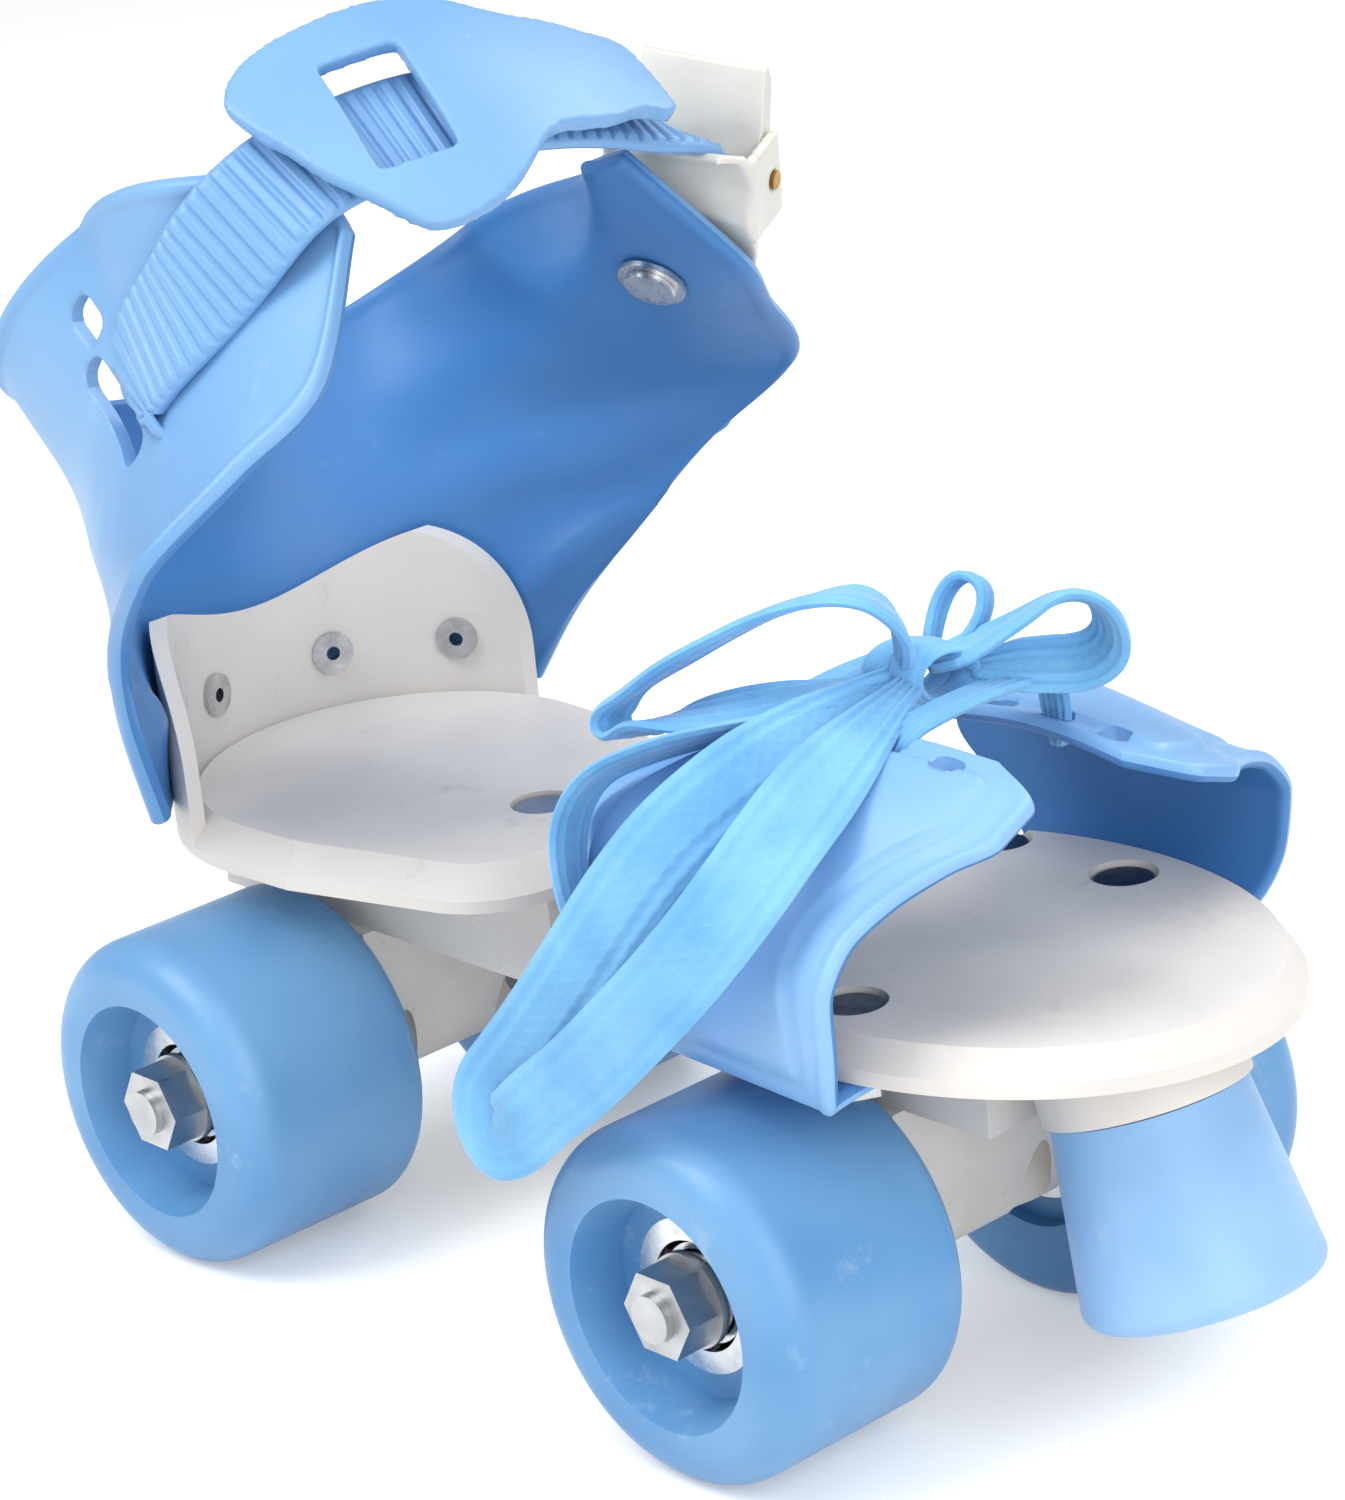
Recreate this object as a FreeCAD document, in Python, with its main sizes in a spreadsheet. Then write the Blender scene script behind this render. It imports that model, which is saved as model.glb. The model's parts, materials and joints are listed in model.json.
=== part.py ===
import FreeCAD, Part
import math
import os
import Sketcher

# Clip-on roller skate: a heel half and a toe half joined by a sliding bar.
# +X points to the toe, +Y to the left, +Z up. The origin lies on the heel bed,
# over the rear axle. All sizes are in millimetres, angles in degrees.

SIZES = [
    # running gear
    ("wheelbase", 130.6), ("bed_height", 77.0), ("wheel_radius", 30.0), ("wheel_width", 39.2),
    ("wheel_gap", 44.0), ("tread_round", 7.0), ("inner_round", 3.5), ("mouth_radius", 19.5),
    ("hub_radius", 17.0), ("hub_depth", 9.0), ("inner_recess_depth", 3.0),
    ("inner_recess_radius", 17.0), ("bearing_radius", 13.0), ("bearing_width", 8.0),
    ("web_bore_radius", 10.5), ("race_gap_outer", 9.3), ("race_gap_inner", 7.0),
    ("race_proud", 0.6), ("cage_thickness", 1.0), ("cage_width", 5.0), ("axle_radius", 4.0),
    ("axle_proud", 1.2), ("axle_fit", 0.03), ("nut_flats", 13.0), ("nut_height", 6.5),
    ("washer_radius", 8.0), ("washer_thickness", 1.5),
    # axle housings
    ("housing_width", 41.0), ("housing_round", 9.6), ("housing_front", 14.0),
    ("housing_back", 14.0), ("housing_screw_x", 9.5), ("housing_screw_y", 13.0),
    ("housing_screw_radius", 2.0), ("housing_screw_head", 3.6), ("housing_screw_depth", 14.0),
    # heel plate
    ("plate_thickness", 7.0), ("bevel_height", 4.8), ("bevel_width", 5.2), ("heel_centre_x", 6.0),
    ("heel_radius", 42.0), ("heel_waist_x", 22.0), ("heel_waist_y", 41.4), ("heel_front_x", 65.0),
    ("heel_front_y", 30.0), ("heel_corner", 18.0),
    # heel counter
    ("counter_wall", 3.0), ("counter_front_x", -4.5), ("counter_peak_x", -21.0),
    ("counter_peak", 31.0), ("counter_dip", 20.5), ("counter_knee", 8.0),
    ("counter_front_arc", 24.0), ("counter_back_arc", 26.0), ("rivet_height", 10.0),
    ("cup_wall", 2.6), ("hem_wall", 2.4), ("rivet_front_x", -16.0), ("rivet_back_x", -30.5),
    ("rivet_radius", 2.2), ("rivet_head_radius", 3.9), ("rivet_bore", 1.3),
    # spine and slide
    ("spine_half", 18.0), ("spine_depth", 17.5), ("channel_half", 15.0), ("channel_floor", 4.0),
    ("channel_back_x", -24.0), ("bar_clearance", 0.3), ("bar_wall", 3.0), ("bar_back_x", 2.0),
    ("slide_in", 22.0), ("slide_out", 30.0), ("clamp_x", 42.7), ("clamp_radius", 3.0),
    ("clamp_clearance", 0.4), ("clamp_head_radius", 5.0), ("clamp_head_height", 3.0),
    ("recess_radius", 5.7), ("recess_depth", 3.6), ("wing_hub_radius", 6.0), ("wing_hub_height", 7.0),
    ("wing_span", 15.0), ("wing_rise", 6.0), ("wing_thickness", 2.4),
    # toe plate
    ("toe_centre_x", 146.0), ("toe_half_length", 56.0), ("toe_half_width", 43.5),
    ("toe_bevel_height", 4.5), ("toe_bevel_width", 3.0), ("toe_spine_back_x", 96.0),
    ("toe_spine_front_x", 163.0), ("toe_screw_back_x", 121.5), ("toe_screw_front_x", 149.0),
    ("toe_screw_y", 31.0), ("toe_screw_radius", 2.5), ("toe_screw_head", 4.8),
    ("toe_nut_flats", 8.0), ("toe_nut_height", 4.0),
    # toe stop
    ("stop_x", 179.9), ("stop_z", -19.6), ("stop_tilt", 18.0), ("stop_top_radius", 15.8),
    ("stop_bottom_radius", 20.0), ("stop_height", 32.5), ("stop_round", 3.0), ("stop_gap", 0.4),
    ("pad_radius", 16.8), ("stop_bolt_radius", 3.0), ("stop_bolt_head", 6.0),
    ("stop_bolt_head_height", 4.0), ("stop_web", 9.0), ("insert_radius", 5.0), ("insert_length", 9.0),
    # ankle strap, its pad and buckle
    ("strap_width", 21.0), ("strap_thickness", 2.0), ("strap_rib", 0.7), ("rib_pitch", 3.0),
    ("rib_width", 1.5), ("ribs_start", 12.0), ("ribs_end", 192.0), ("strap_head_width", 27.0),
    ("strap_pad_wall", 3.0), ("strap_pad_start", 62.0), ("window_length", 14.0), ("window_width", 24.0),
    ("window_at", 81.0), ("buckle_at", 151.0), ("buckle_width", 28.0), ("buckle_wall", 2.0),
    ("buckle_gap", 0.9), ("buckle_cheek", 9.0), ("buckle_back", 11.0), ("buckle_front", 24.0),
    ("pin_radius", 1.6), ("pin_height", 5.6), ("lever_clearance", 0.35), ("buckle_foot_radius", 6.5),
    ("strap_rivet_radius", 2.0), ("strap_rivet_head", 4.6), ("strap_washer_radius", 6.2),
    # toe strap and lace
    ("lace_hole_radius", 2.4), ("lace_hole_y", 18.5), ("lace_width", 4.0), ("knot_length", 11.0),
    ("knot_width", 12.0), ("knot_height", 8.0),
]

doc = FreeCAD.newDocument("roller_skate")
sheet = doc.addObject("Spreadsheet::Sheet", "sizes")
for row, (name, value) in enumerate(SIZES, start=1):
    sheet.set(f"A{row}", name)
    sheet.set(f"B{row}", str(value))
    sheet.setAlias(f"B{row}", name)
doc.recompute()


class Size:
    """A length that knows its value and the sheet expression it comes from."""

    def __init__(self, value, text):
        self.value, self.text = value, text

    def __add__(self, other):
        other = as_size(other)
        return Size(self.value + other.value, f"({self.text} + {other.text})")

    def __sub__(self, other):
        other = as_size(other)
        return Size(self.value - other.value, f"({self.text} - {other.text})")

    def __mul__(self, other):
        other = as_size(other)
        return Size(self.value * other.value, f"({self.text} * {other.text})")

    def __truediv__(self, other):
        other = as_size(other)
        return Size(self.value / other.value, f"({self.text} / {other.text})")

    def __neg__(self):
        return Size(-self.value, f"(0 - {self.text})")

    def __radd__(self, other):
        return as_size(other) + self

    def __rsub__(self, other):
        return as_size(other) - self

    def __rmul__(self, other):
        return as_size(other) * self


def as_size(number):
    return number if isinstance(number, Size) else Size(float(number), f"({float(number)})")


def size(name):
    return Size(float(sheet.get(name)), f"sizes.{name}")


def bind(thing, **sizes):
    """Ties properties of an object to sizes."""
    for name, value in sizes.items():
        value = as_size(value)
        setattr(thing, name, value.value)
        thing.setExpression(name, value.text)
    return thing


def put(thing, x=0, y=0, z=0, axis=(0, 0, 1), angle=0):
    """Places an object, with its position tied to sizes."""
    x, y, z, angle = as_size(x), as_size(y), as_size(z), as_size(angle)
    turn = FreeCAD.Rotation(FreeCAD.Vector(*axis), angle.value)
    thing.Placement = FreeCAD.Placement(FreeCAD.Vector(x.value, y.value, z.value), turn)
    for name, value in (("x", x), ("y", y), ("z", z)):
        thing.setExpression(f"Placement.Base.{name}", value.text)
    return thing


# Sketch and body helpers

def new_body(label):
    body = doc.addObject("PartDesign::Body", label)
    body.Label = label
    return body


def new_sketch(body, role, lift=0):
    """A sketch on one of the body's own origin planes, lifted along the plane's normal."""
    sketch = body.newObject("Sketcher::SketchObject", body.Label + "_sketch")
    face = next(f for f in body.Origin.OriginFeatures if f.Role == role)
    sketch.AttachmentSupport = [(face, "")]
    sketch.MapMode = "FlatFace"
    lift = as_size(lift)
    sketch.AttachmentOffset = FreeCAD.Placement(FreeCAD.Vector(0, 0, lift.value), FreeCAD.Rotation())
    sketch.setExpression("AttachmentOffset.Base.z", lift.text)
    return sketch


def hold(sketch, kind, *where):
    """Adds a dimension whose value is a size."""
    value = where[-1]
    index = sketch.addConstraint(Sketcher.Constraint(kind, *where[:-1], value.value))
    sketch.setExpression(f"Constraints[{index}]", value.text)


def outline(sketch, corners, arcs=None):
    """A closed outline whose corners are held from the sketch's origin.

    A run is straight, or an arc where arcs gives its radius under the number of its first
    corner. A positive radius bulges to the right of the way along the outline.
    """
    arcs = arcs or {}
    corners = [(as_size(x), as_size(y)) for x, y in corners]
    points = [FreeCAD.Vector(x.value, y.value, 0) for x, y in corners]
    first, count = sketch.GeometryCount, len(corners)
    ends = []
    for i in range(count):
        start, stop = points[i], points[(i + 1) % count]
        if i not in arcs:
            sketch.addGeometry(Part.LineSegment(start, stop), False)
            ends.append((1, 2))
            continue
        radius, chord = as_size(arcs[i]).value, stop - start
        middle = (start + stop) * 0.5
        square = FreeCAD.Vector(chord.y, -chord.x, 0).normalize()
        away = math.sqrt(radius ** 2 - (chord.Length / 2) ** 2)
        way = 1 if radius > 0 else -1
        crown = middle + square * way * (abs(radius) - away)
        sketch.addGeometry(Part.ArcOfCircle(start, crown, stop), False)
        ends.append((1, 2) if way > 0 else (2, 1))
    for i, (x, y) in enumerate(corners):
        nxt = (i + 1) % count
        sketch.addConstraint(Sketcher.Constraint("Coincident", first + i, ends[i][1], first + nxt, ends[nxt][0]))
        hold(sketch, "DistanceX", -1, 1, first + i, ends[i][0], x)
        hold(sketch, "DistanceY", -1, 1, first + i, ends[i][0], y)
    for i, radius in arcs.items():
        hold(sketch, "Radius", first + i, as_size(radius) * (1 if as_size(radius).value > 0 else -1))


def circle(sketch, x, y, radius):
    x, y, radius = as_size(x), as_size(y), as_size(radius)
    middle = FreeCAD.Vector(x.value, y.value, 0)
    index = sketch.addGeometry(Part.Circle(middle, FreeCAD.Vector(0, 0, 1), radius.value), False)
    hold(sketch, "DistanceX", -1, 1, index, 3, x)
    hold(sketch, "DistanceY", -1, 1, index, 3, y)
    hold(sketch, "Radius", index, radius)


def pad(body, sketch, length, symmetric=False, reverse=False):
    feature = body.newObject("PartDesign::Pad", body.Label + "_pad")
    feature.Profile = sketch
    bind(feature, Length=length)
    feature.SideType = "Symmetric" if symmetric else "One side"
    feature.Reversed = reverse
    return feature


def pocket(body, sketch, length, symmetric=False, reverse=False):
    """Cuts a sketch out of the body and makes sure that it took material away."""
    doc.recompute()
    before = body.Shape.Volume
    feature = body.newObject("PartDesign::Pocket", body.Label + "_pocket")
    feature.Profile = sketch
    bind(feature, Length=length)
    feature.SideType = "Symmetric" if symmetric else "One side"
    feature.Reversed = reverse
    doc.recompute()
    if not body.Shape.Volume < before - 1e-3:
        raise ValueError(f"a pocket of {body.Label} cuts nothing")
    return feature


def revolve(body, sketch):
    feature = body.newObject("PartDesign::Revolution", body.Label + "_turned")
    feature.Profile = sketch
    feature.ReferenceAxis = (sketch, ["V_Axis"])
    feature.Angle = 360.0
    return feature


def edges_where(shape, test):
    """Names of the edges whose points pass a test."""
    names = []
    for i, edge in enumerate(shape.Edges, start=1):
        points = [edge.valueAt(edge.FirstParameter + k * (edge.LastParameter - edge.FirstParameter) / 4)
                  for k in range(5)]
        if all(test(p) for p in points):
            names.append(f"Edge{i}")
    return names


def round_edges(body, radius, test):
    doc.recompute()
    last = body.Tip
    feature = body.newObject("PartDesign::Fillet", body.Label + "_round")
    feature.Base = (last, edges_where(last.Shape, test))
    bind(feature, Radius=radius)
    return feature


def bevel_edges(body, down, inwards, test):
    """A chamfer with its own height and width."""
    doc.recompute()
    last = body.Tip
    feature = body.newObject("PartDesign::Chamfer", body.Label + "_bevel")
    feature.Base = (last, edges_where(last.Shape, test))
    feature.ChamferType = "Two distances"
    bind(feature, Size=down, Size2=inwards)
    return feature


# Part helpers

def cylinder(label, radius, height, **where):
    return put(bind(doc.addObject("Part::Cylinder", label), Radius=radius, Height=height), **where)


def box(label, length, width, height, **where):
    return put(bind(doc.addObject("Part::Box", label), Length=length, Width=width, Height=height), **where)


def fuse(label, *parts):
    feature = doc.addObject("Part::MultiFuse", label)
    feature.Shapes = list(parts)
    feature.Refine = True
    feature.Label = label
    return feature


def cut(label, base, *tools):
    feature = doc.addObject("Part::Cut", label)
    feature.Base = base
    feature.Tool = tools[0] if len(tools) == 1 else fuse(label + "_tools", *tools)
    feature.Refine = True
    feature.Label = label
    return feature


def common(label, *parts):
    feature = doc.addObject("Part::MultiCommon", label)
    feature.Shapes = list(parts)
    feature.Label = label
    return feature


def group(label, parts):
    """Several separate solids that make one node."""
    feature = doc.addObject("Part::Compound", label)
    feature.Links = list(parts)
    feature.Label = label
    return feature


NODES = []


def keep(thing):
    NODES.append(thing)
    return thing


axle_z = size("wheel_radius") - size("bed_height")
axle_x = {"rear": Size(0.0, "(0.0)"), "front": size("wheelbase")}
SIDES = {"right": -1, "left": 1}


# Wheels, bearings and axles

def wheel(end, side):
    """Moulded wheel, turned about its own axle from the inner face outwards."""
    body = new_body(f"{end}_{side}_wheel")
    sketch = new_sketch(body, "XZ_Plane")
    radius, width = size("wheel_radius"), size("wheel_width")
    seat, web = size("bearing_radius"), size("web_bore_radius")
    inner_floor = size("inner_recess_depth")
    outer_floor = width - size("hub_depth")
    outline(sketch, [
        (seat, inner_floor), (size("inner_recess_radius"), inner_floor),
        (size("inner_recess_radius"), 0), (radius, 0), (radius, width),
        (size("mouth_radius"), width), (size("hub_radius"), outer_floor),
        (seat, outer_floor), (seat, outer_floor - size("bearing_width")),
        (web, outer_floor - size("bearing_width")), (web, inner_floor + size("bearing_width")),
        (seat, inner_floor + size("bearing_width"))])
    revolve(body, sketch)
    rim, wide = radius.value, width.value
    round_edges(body, size("tread_round"), lambda p: abs(math.hypot(p.x, p.y) - rim) < 0.01 and p.z > wide - 0.01)
    round_edges(body, size("inner_round"), lambda p: abs(math.hypot(p.x, p.y) - rim) < 0.01 and p.z < 0.01)
    return keep(on_axle(body, end, side, size("wheel_gap") / 2))


def on_axle(thing, end, side, start):
    """Stands a turned piece on its axle, its own Z pointing outwards from the middle."""
    way = SIDES[side]
    return put(thing, x=axle_x[end], y=way * start, z=axle_z, axis=(1, 0, 0), angle=-90 * way)


def ring(label, outer, inner, length, end, side, start):
    """A plain ring on the axle: start is its near face's distance from the middle."""
    way = SIDES[side]
    solid = cylinder(label + "_outside", outer, length)
    hole = cylinder(label + "_hole", inner, length)
    return on_axle(cut(label, solid, hole), end, side, start)


def bearing_starts():
    """Where the inner and the outer bearing of a wheel begin, from the middle of the skate."""
    near = size("wheel_gap") / 2 + size("inner_recess_depth")
    far = size("wheel_gap") / 2 + size("wheel_width") - size("hub_depth") - size("bearing_width")
    return {"inner": near, "outer": far}


def wheel_bearings(end, side):
    """The pressed outer races and the ball cages, which turn with the wheel."""
    races, cages = [], []
    for place, start in bearing_starts().items():
        name = f"{end}_{side}_{place}"
        races.append(ring(name + "_race", size("bearing_radius"), size("race_gap_outer"),
                          size("bearing_width"), end, side, start))
        cage_inner = size("race_gap_inner") + 0.4
        cages.append(ring(name + "_cage", cage_inner + size("cage_thickness"), cage_inner, size("cage_width"),
                          end, side, start + (size("bearing_width") - size("cage_width")) / 2))
    keep(group(f"{end}_{side}_outer_races", races))
    keep(group(f"{end}_{side}_ball_cages", cages))


def axle_set(end):
    """Axle, its spacers, inner races, washers and nuts, which stay still."""
    reach = size("wheel_gap") / 2 + size("wheel_width") + size("axle_proud")
    axle = cylinder(f"{end}_axle", size("axle_radius"), reach * 2)
    keep(put(axle, x=axle_x[end], y=-reach, z=axle_z, axis=(1, 0, 0), angle=-90))
    bore = size("axle_radius") + size("axle_fit")
    spacers, races, washers, nuts = [], [], [], []
    for side in SIDES:
        starts = bearing_starts()
        proud = size("race_proud")
        spacer_start = size("housing_width") / 2
        spacers.append(ring(f"{end}_{side}_spacer", size("race_gap_inner"), bore,
                            starts["inner"] - proud - spacer_start, end, side, spacer_start))
        for place, start in starts.items():
            races.append(ring(f"{end}_{side}_{place}_inner_race", size("race_gap_inner"), bore,
                              size("bearing_width") + proud * 2, end, side, start - proud))
        washer_start = starts["outer"] + size("bearing_width") + proud
        washers.append(ring(f"{end}_{side}_washer", size("washer_radius"), bore,
                            size("washer_thickness"), end, side, washer_start))
        nuts.append(hex_nut(f"{end}_{side}_nut", size("nut_flats"), size("nut_height"), bore,
                            end, side, washer_start + size("washer_thickness")))
    keep(group(f"{end}_axle_spacers", spacers))
    keep(group(f"{end}_inner_races", races))
    keep(group(f"{end}_axle_washers", washers))
    keep(group(f"{end}_axle_nuts", nuts))


def hex_nut(label, flats, height, bore, end, side, start):
    """A hexagon nut on the axle, its corners turned off at both faces."""
    prism = bind(doc.addObject("Part::Prism", label + "_hexagon"),
                 Circumradius=flats / math.sqrt(3), Height=height)
    prism.Polygon = 6
    dome = bind(doc.addObject("Part::Cone", label + "_turned"), Radius1=flats * 0.58 + height,
                Radius2=flats * 0.5, Height=height + flats * 0.08)
    hole = cylinder(label + "_hole", bore, height)
    return on_axle(cut(label, common(label + "_blank", prism, dome), hole), end, side, start)


def housing(end):
    """Axle housing: a block between the wheels with a rounded foot round the axle."""
    body = new_body(f"{end}_axle_housing")
    top = -(size("plate_thickness") + size("spine_depth"))
    foot = size("housing_round")
    front, back = size("housing_front"), size("housing_back")
    sketch = new_sketch(body, "XZ_Plane")
    outline(sketch, [(-back, top), (front, top), (front, axle_z + foot * 0.75), (foot, axle_z - foot),
                     (-foot, axle_z - foot), (-back, axle_z + foot * 0.75)])
    pad(body, sketch, size("housing_width"), symmetric=True)
    low = (axle_z - foot).value
    round_edges(body, foot * 0.95, lambda p: abs(p.z - low) < 0.01 and abs(p.y) < 99 and abs(abs(p.x) - foot.value) < 0.01)
    knee = (axle_z + foot * 0.75).value
    round_edges(body, 5, lambda p: abs(p.z - knee) < 0.3 and abs(p.x) > foot.value)
    bore = new_sketch(body, "XZ_Plane")
    circle(bore, 0, axle_z, size("axle_radius") + size("axle_fit"))
    pocket(body, bore, size("housing_width") + 2, symmetric=True)
    heads = new_sketch(body, "XY_Plane", top - size("housing_screw_depth"))
    shanks = new_sketch(body, "XY_Plane", top)
    for x, y in housing_screw_places():
        circle(heads, x, y, size("housing_screw_head") + 0.4)
        circle(shanks, x, y, size("housing_screw_radius") + 0.1)
    pocket(body, heads, 60)
    pocket(body, shanks, size("housing_screw_depth") + 1)
    return keep(put(body, x=axle_x[end]))


def housing_screw_places():
    return [(sx * size("housing_screw_x"), sy * size("housing_screw_y")) for sx in (-1, 1) for sy in (-1, 1)]


def housing_screws(end):
    """Screws from below that hold the housing to the spine above it."""
    top = -(size("plate_thickness") + size("spine_depth"))
    head_z = top - size("housing_screw_depth")
    screws = []
    for i, (x, y) in enumerate(housing_screw_places()):
        head = cylinder(f"{end}_housing_head_{i}", size("housing_screw_head"), 2.5,
                        x=axle_x[end] + x, y=y, z=head_z - 2.5)
        shank = cylinder(f"{end}_housing_shank_{i}", size("housing_screw_radius"),
                         size("housing_screw_depth") + size("channel_floor") - 0.6,
                         x=axle_x[end] + x, y=y, z=head_z)
        screws.append(fuse(f"{end}_housing_screw_{i}", head, shank))
    keep(group(f"{end}_housing_screws", screws))


for end in ("rear", "front"):
    housing(end)
    housing_screws(end)
    axle_set(end)
    for side in SIDES:
        wheel(end, side)
        wheel_bearings(end, side)


# Heel half

plate_under = -size("plate_thickness")
spine_under = plate_under - size("spine_depth")


def heel_blank():
    """Round heel, straight waist and squarer front, with a bevelled rim."""
    body = new_body("heel_plate_blank")
    middle, radius = size("heel_centre_x"), size("heel_radius")
    front_x, front_y = size("heel_front_x"), size("heel_front_y")
    waist_x, waist_y = size("heel_waist_x"), size("heel_waist_y")
    sketch = new_sketch(body, "XY_Plane")
    outline(sketch, [(middle, -radius), (waist_x, -waist_y), (front_x, -front_y),
                     (front_x, front_y), (waist_x, waist_y), (middle, radius)])
    pad(body, sketch, size("plate_thickness"), reverse=True)
    back = new_sketch(body, "XY_Plane")
    circle(back, middle, 0, radius)
    pad(body, back, size("plate_thickness"), reverse=True)
    round_edges(body, size("heel_corner"), lambda p: abs(p.x - front_x.value) < 0.01 and abs(abs(p.y) - front_y.value) < 0.01)
    bevel_edges(body, size("bevel_height"), size("bevel_width"), lambda p: p.z > -0.01)
    return body


def counter():
    """Upright wall round the heel, high at both sides and low at the back."""
    radius, wall = size("heel_radius"), size("counter_wall")
    middle = size("heel_centre_x")
    height = size("counter_peak") + size("bevel_height") + 2
    foot = -(size("bevel_height") + 1)
    outside = cylinder("counter_outside", radius, height, x=middle, z=foot)
    inside = cylinder("counter_inside", radius - wall, height + 2, x=middle, z=foot - 1)
    side = new_body("counter_side_view")
    sketch = new_sketch(side, "XZ_Plane")
    front, peak_x, peak = size("counter_front_x"), size("counter_peak_x"), size("counter_peak")
    back = middle - radius
    outline(sketch, [(back - 1, foot), (front, foot), (front, size("counter_knee")), (peak_x, peak),
                     (back + 1.5, size("counter_dip")), (back - 1, size("counter_dip"))],
            arcs={2: size("counter_front_arc"), 3: size("counter_back_arc")})
    pad(side, sketch, radius * 2 + 4, symmetric=True)
    return common("counter_wall", cut("counter_ring", outside, inside), side)


def counter_rivet_places():
    """Each rivet's place on the counter, as its angle from straight back."""
    radius = size("heel_radius").value - size("counter_wall").value
    places = []
    for x in (size("rivet_front_x"), size("rivet_back_x")):
        angle = math.degrees(math.acos((size("heel_centre_x") - x).value / radius))
        places += [-angle, angle]
    return places


def through_counter(label, radius, start, length, angle):
    """A cylinder that points straight out of the counter, from its inner face plus start."""
    reach = (size("heel_radius") - size("counter_wall") + start).value
    turn = math.radians(180 - angle)
    solid = bind(doc.addObject("Part::Cylinder", label), Radius=radius, Height=length)
    way = FreeCAD.Vector(math.cos(turn), math.sin(turn), 0)
    base = FreeCAD.Vector(size("heel_centre_x").value, 0, size("rivet_height").value) + way * reach
    solid.Placement = FreeCAD.Placement(base, FreeCAD.Rotation(FreeCAD.Vector(0, 0, 1), way))
    return solid


def spine(label, back_x, front_x):
    """The box under a plate that the slide bar runs in."""
    return box(label, front_x - back_x, size("spine_half") * 2, size("spine_depth") + 1,
               x=back_x, y=-size("spine_half"), z=spine_under)


def channel(label, back_x, front_x):
    floor = spine_under + size("channel_floor")
    return box(label, front_x - back_x, size("channel_half") * 2, plate_under - floor,
               x=back_x, y=-size("channel_half"), z=floor)


def screw_holes(label, end, radius, bottom, height):
    """Holes for the housing's screws."""
    return [cylinder(f"{label}_{i}", radius, height, x=axle_x[end] + x, y=y, z=bottom)
            for i, (x, y) in enumerate(housing_screw_places())]


def heel_plate():
    holes = [through_counter(f"counter_hole_{i}", size("rivet_radius"), -2, size("counter_wall") + 4, angle)
             for i, angle in enumerate(counter_rivet_places())]
    clamp_hole = cylinder("heel_clamp_hole", size("clamp_radius") + size("clamp_clearance"),
                          size("plate_thickness") + size("spine_depth") + 2, x=size("clamp_x"), z=spine_under - 1)
    clamp_recess = cylinder("heel_clamp_recess", size("recess_radius"), size("recess_depth"),
                            x=size("clamp_x"), z=-size("recess_depth"))
    rear_spine = spine("heel_spine", size("channel_back_x") - 4, size("heel_front_x") - 2)
    rear_channel = channel("heel_channel", size("channel_back_x"), size("heel_front_x") + 5)
    solid = fuse("heel_plate_solid", heel_blank(), counter(), rear_spine)
    screws = screw_holes("heel_screw_hole", "rear", size("housing_screw_radius") + 0.1, spine_under - 1,
                         size("channel_floor") + 2)
    keep(cut("heel_plate", solid, rear_channel, clamp_hole, clamp_recess, *screws, *holes))


def counter_rivets():
    """Tubular rivets through the counter and the heel cup, their bores left open."""
    rivets = []
    sheet_wall = size("cup_wall")
    grip = size("counter_wall") + sheet_wall + 0.6
    for i, angle in enumerate(counter_rivet_places()):
        shank = through_counter(f"rivet_shank_{i}", size("rivet_radius") - 0.05, -0.8, grip + 1.6, angle)
        inner_head = through_counter(f"rivet_head_{i}", size("rivet_head_radius"), -1.2, 1.0, angle)
        outer_head = through_counter(f"rivet_tail_{i}", size("rivet_head_radius"), grip + 0.1, 1.0, angle)
        bore = through_counter(f"rivet_bore_{i}", size("rivet_bore"), -3, 3 + grip * 0.7, angle)
        rivets.append(cut(f"counter_rivet_{i}", fuse(f"rivet_solid_{i}", shank, inner_head, outer_head), bore))
    keep(group("counter_rivets", rivets))


def clamp():
    """Bolt through the heel bed and the bar's slot, with the washer and wing nut that hold it."""
    x, radius = size("clamp_x"), size("clamp_radius")
    under = spine_under - size("washer_thickness")
    end = under - size("wing_hub_height") - 2
    head = cylinder("clamp_bolt_head", size("clamp_head_radius"), size("clamp_head_height"),
                    x=x, z=-size("recess_depth"))
    shank = cylinder("clamp_bolt_shank", radius, -size("recess_depth") - end + 0.5, x=x, z=end)
    keep(fuse("clamp_bolt", head, shank))
    disc = cylinder("clamp_washer_disc", size("washer_radius"), size("washer_thickness"), x=x, z=under)
    hole = cylinder("clamp_washer_hole", radius + 0.1, size("washer_thickness"), x=x, z=under)
    keep(cut("clamp_washer", disc, hole))
    top = under - 0.1
    hub = put(bind(doc.addObject("Part::Cone", "wing_hub"), Radius1=size("wing_hub_radius") - 1,
                   Radius2=size("wing_hub_radius"), Height=size("wing_hub_height")),
              x=x, z=top - size("wing_hub_height"))
    wings = new_body("wings")
    sketch = new_sketch(wings, "XZ_Plane")
    span, low = size("wing_span"), top - size("wing_hub_height")
    for way in (-1, 1):
        outline(sketch, [(way * 2.0, low + 1), (way * 7.0, low + 1), (way * span, low - size("wing_rise") + 3),
                         (way * (span - 3), low - size("wing_rise")), (way * 2.0, low + 4)][::way])
    pad(wings, sketch, size("wing_thickness"), symmetric=True)
    round_edges(wings, 0.8, lambda p: abs(abs(p.x) - span.value) < 0.01 or abs(abs(p.x) - (span - 3).value) < 0.01)
    put(wings, x=x)
    bore = cylinder("wing_bore", radius + 0.06, size("wing_hub_height") + 8, x=x, z=low - 6)
    keep(cut("wing_nut", fuse("wing_nut_solid", hub, wings), bore))


heel_plate()
counter_rivets()
clamp()


# Toe half

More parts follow.
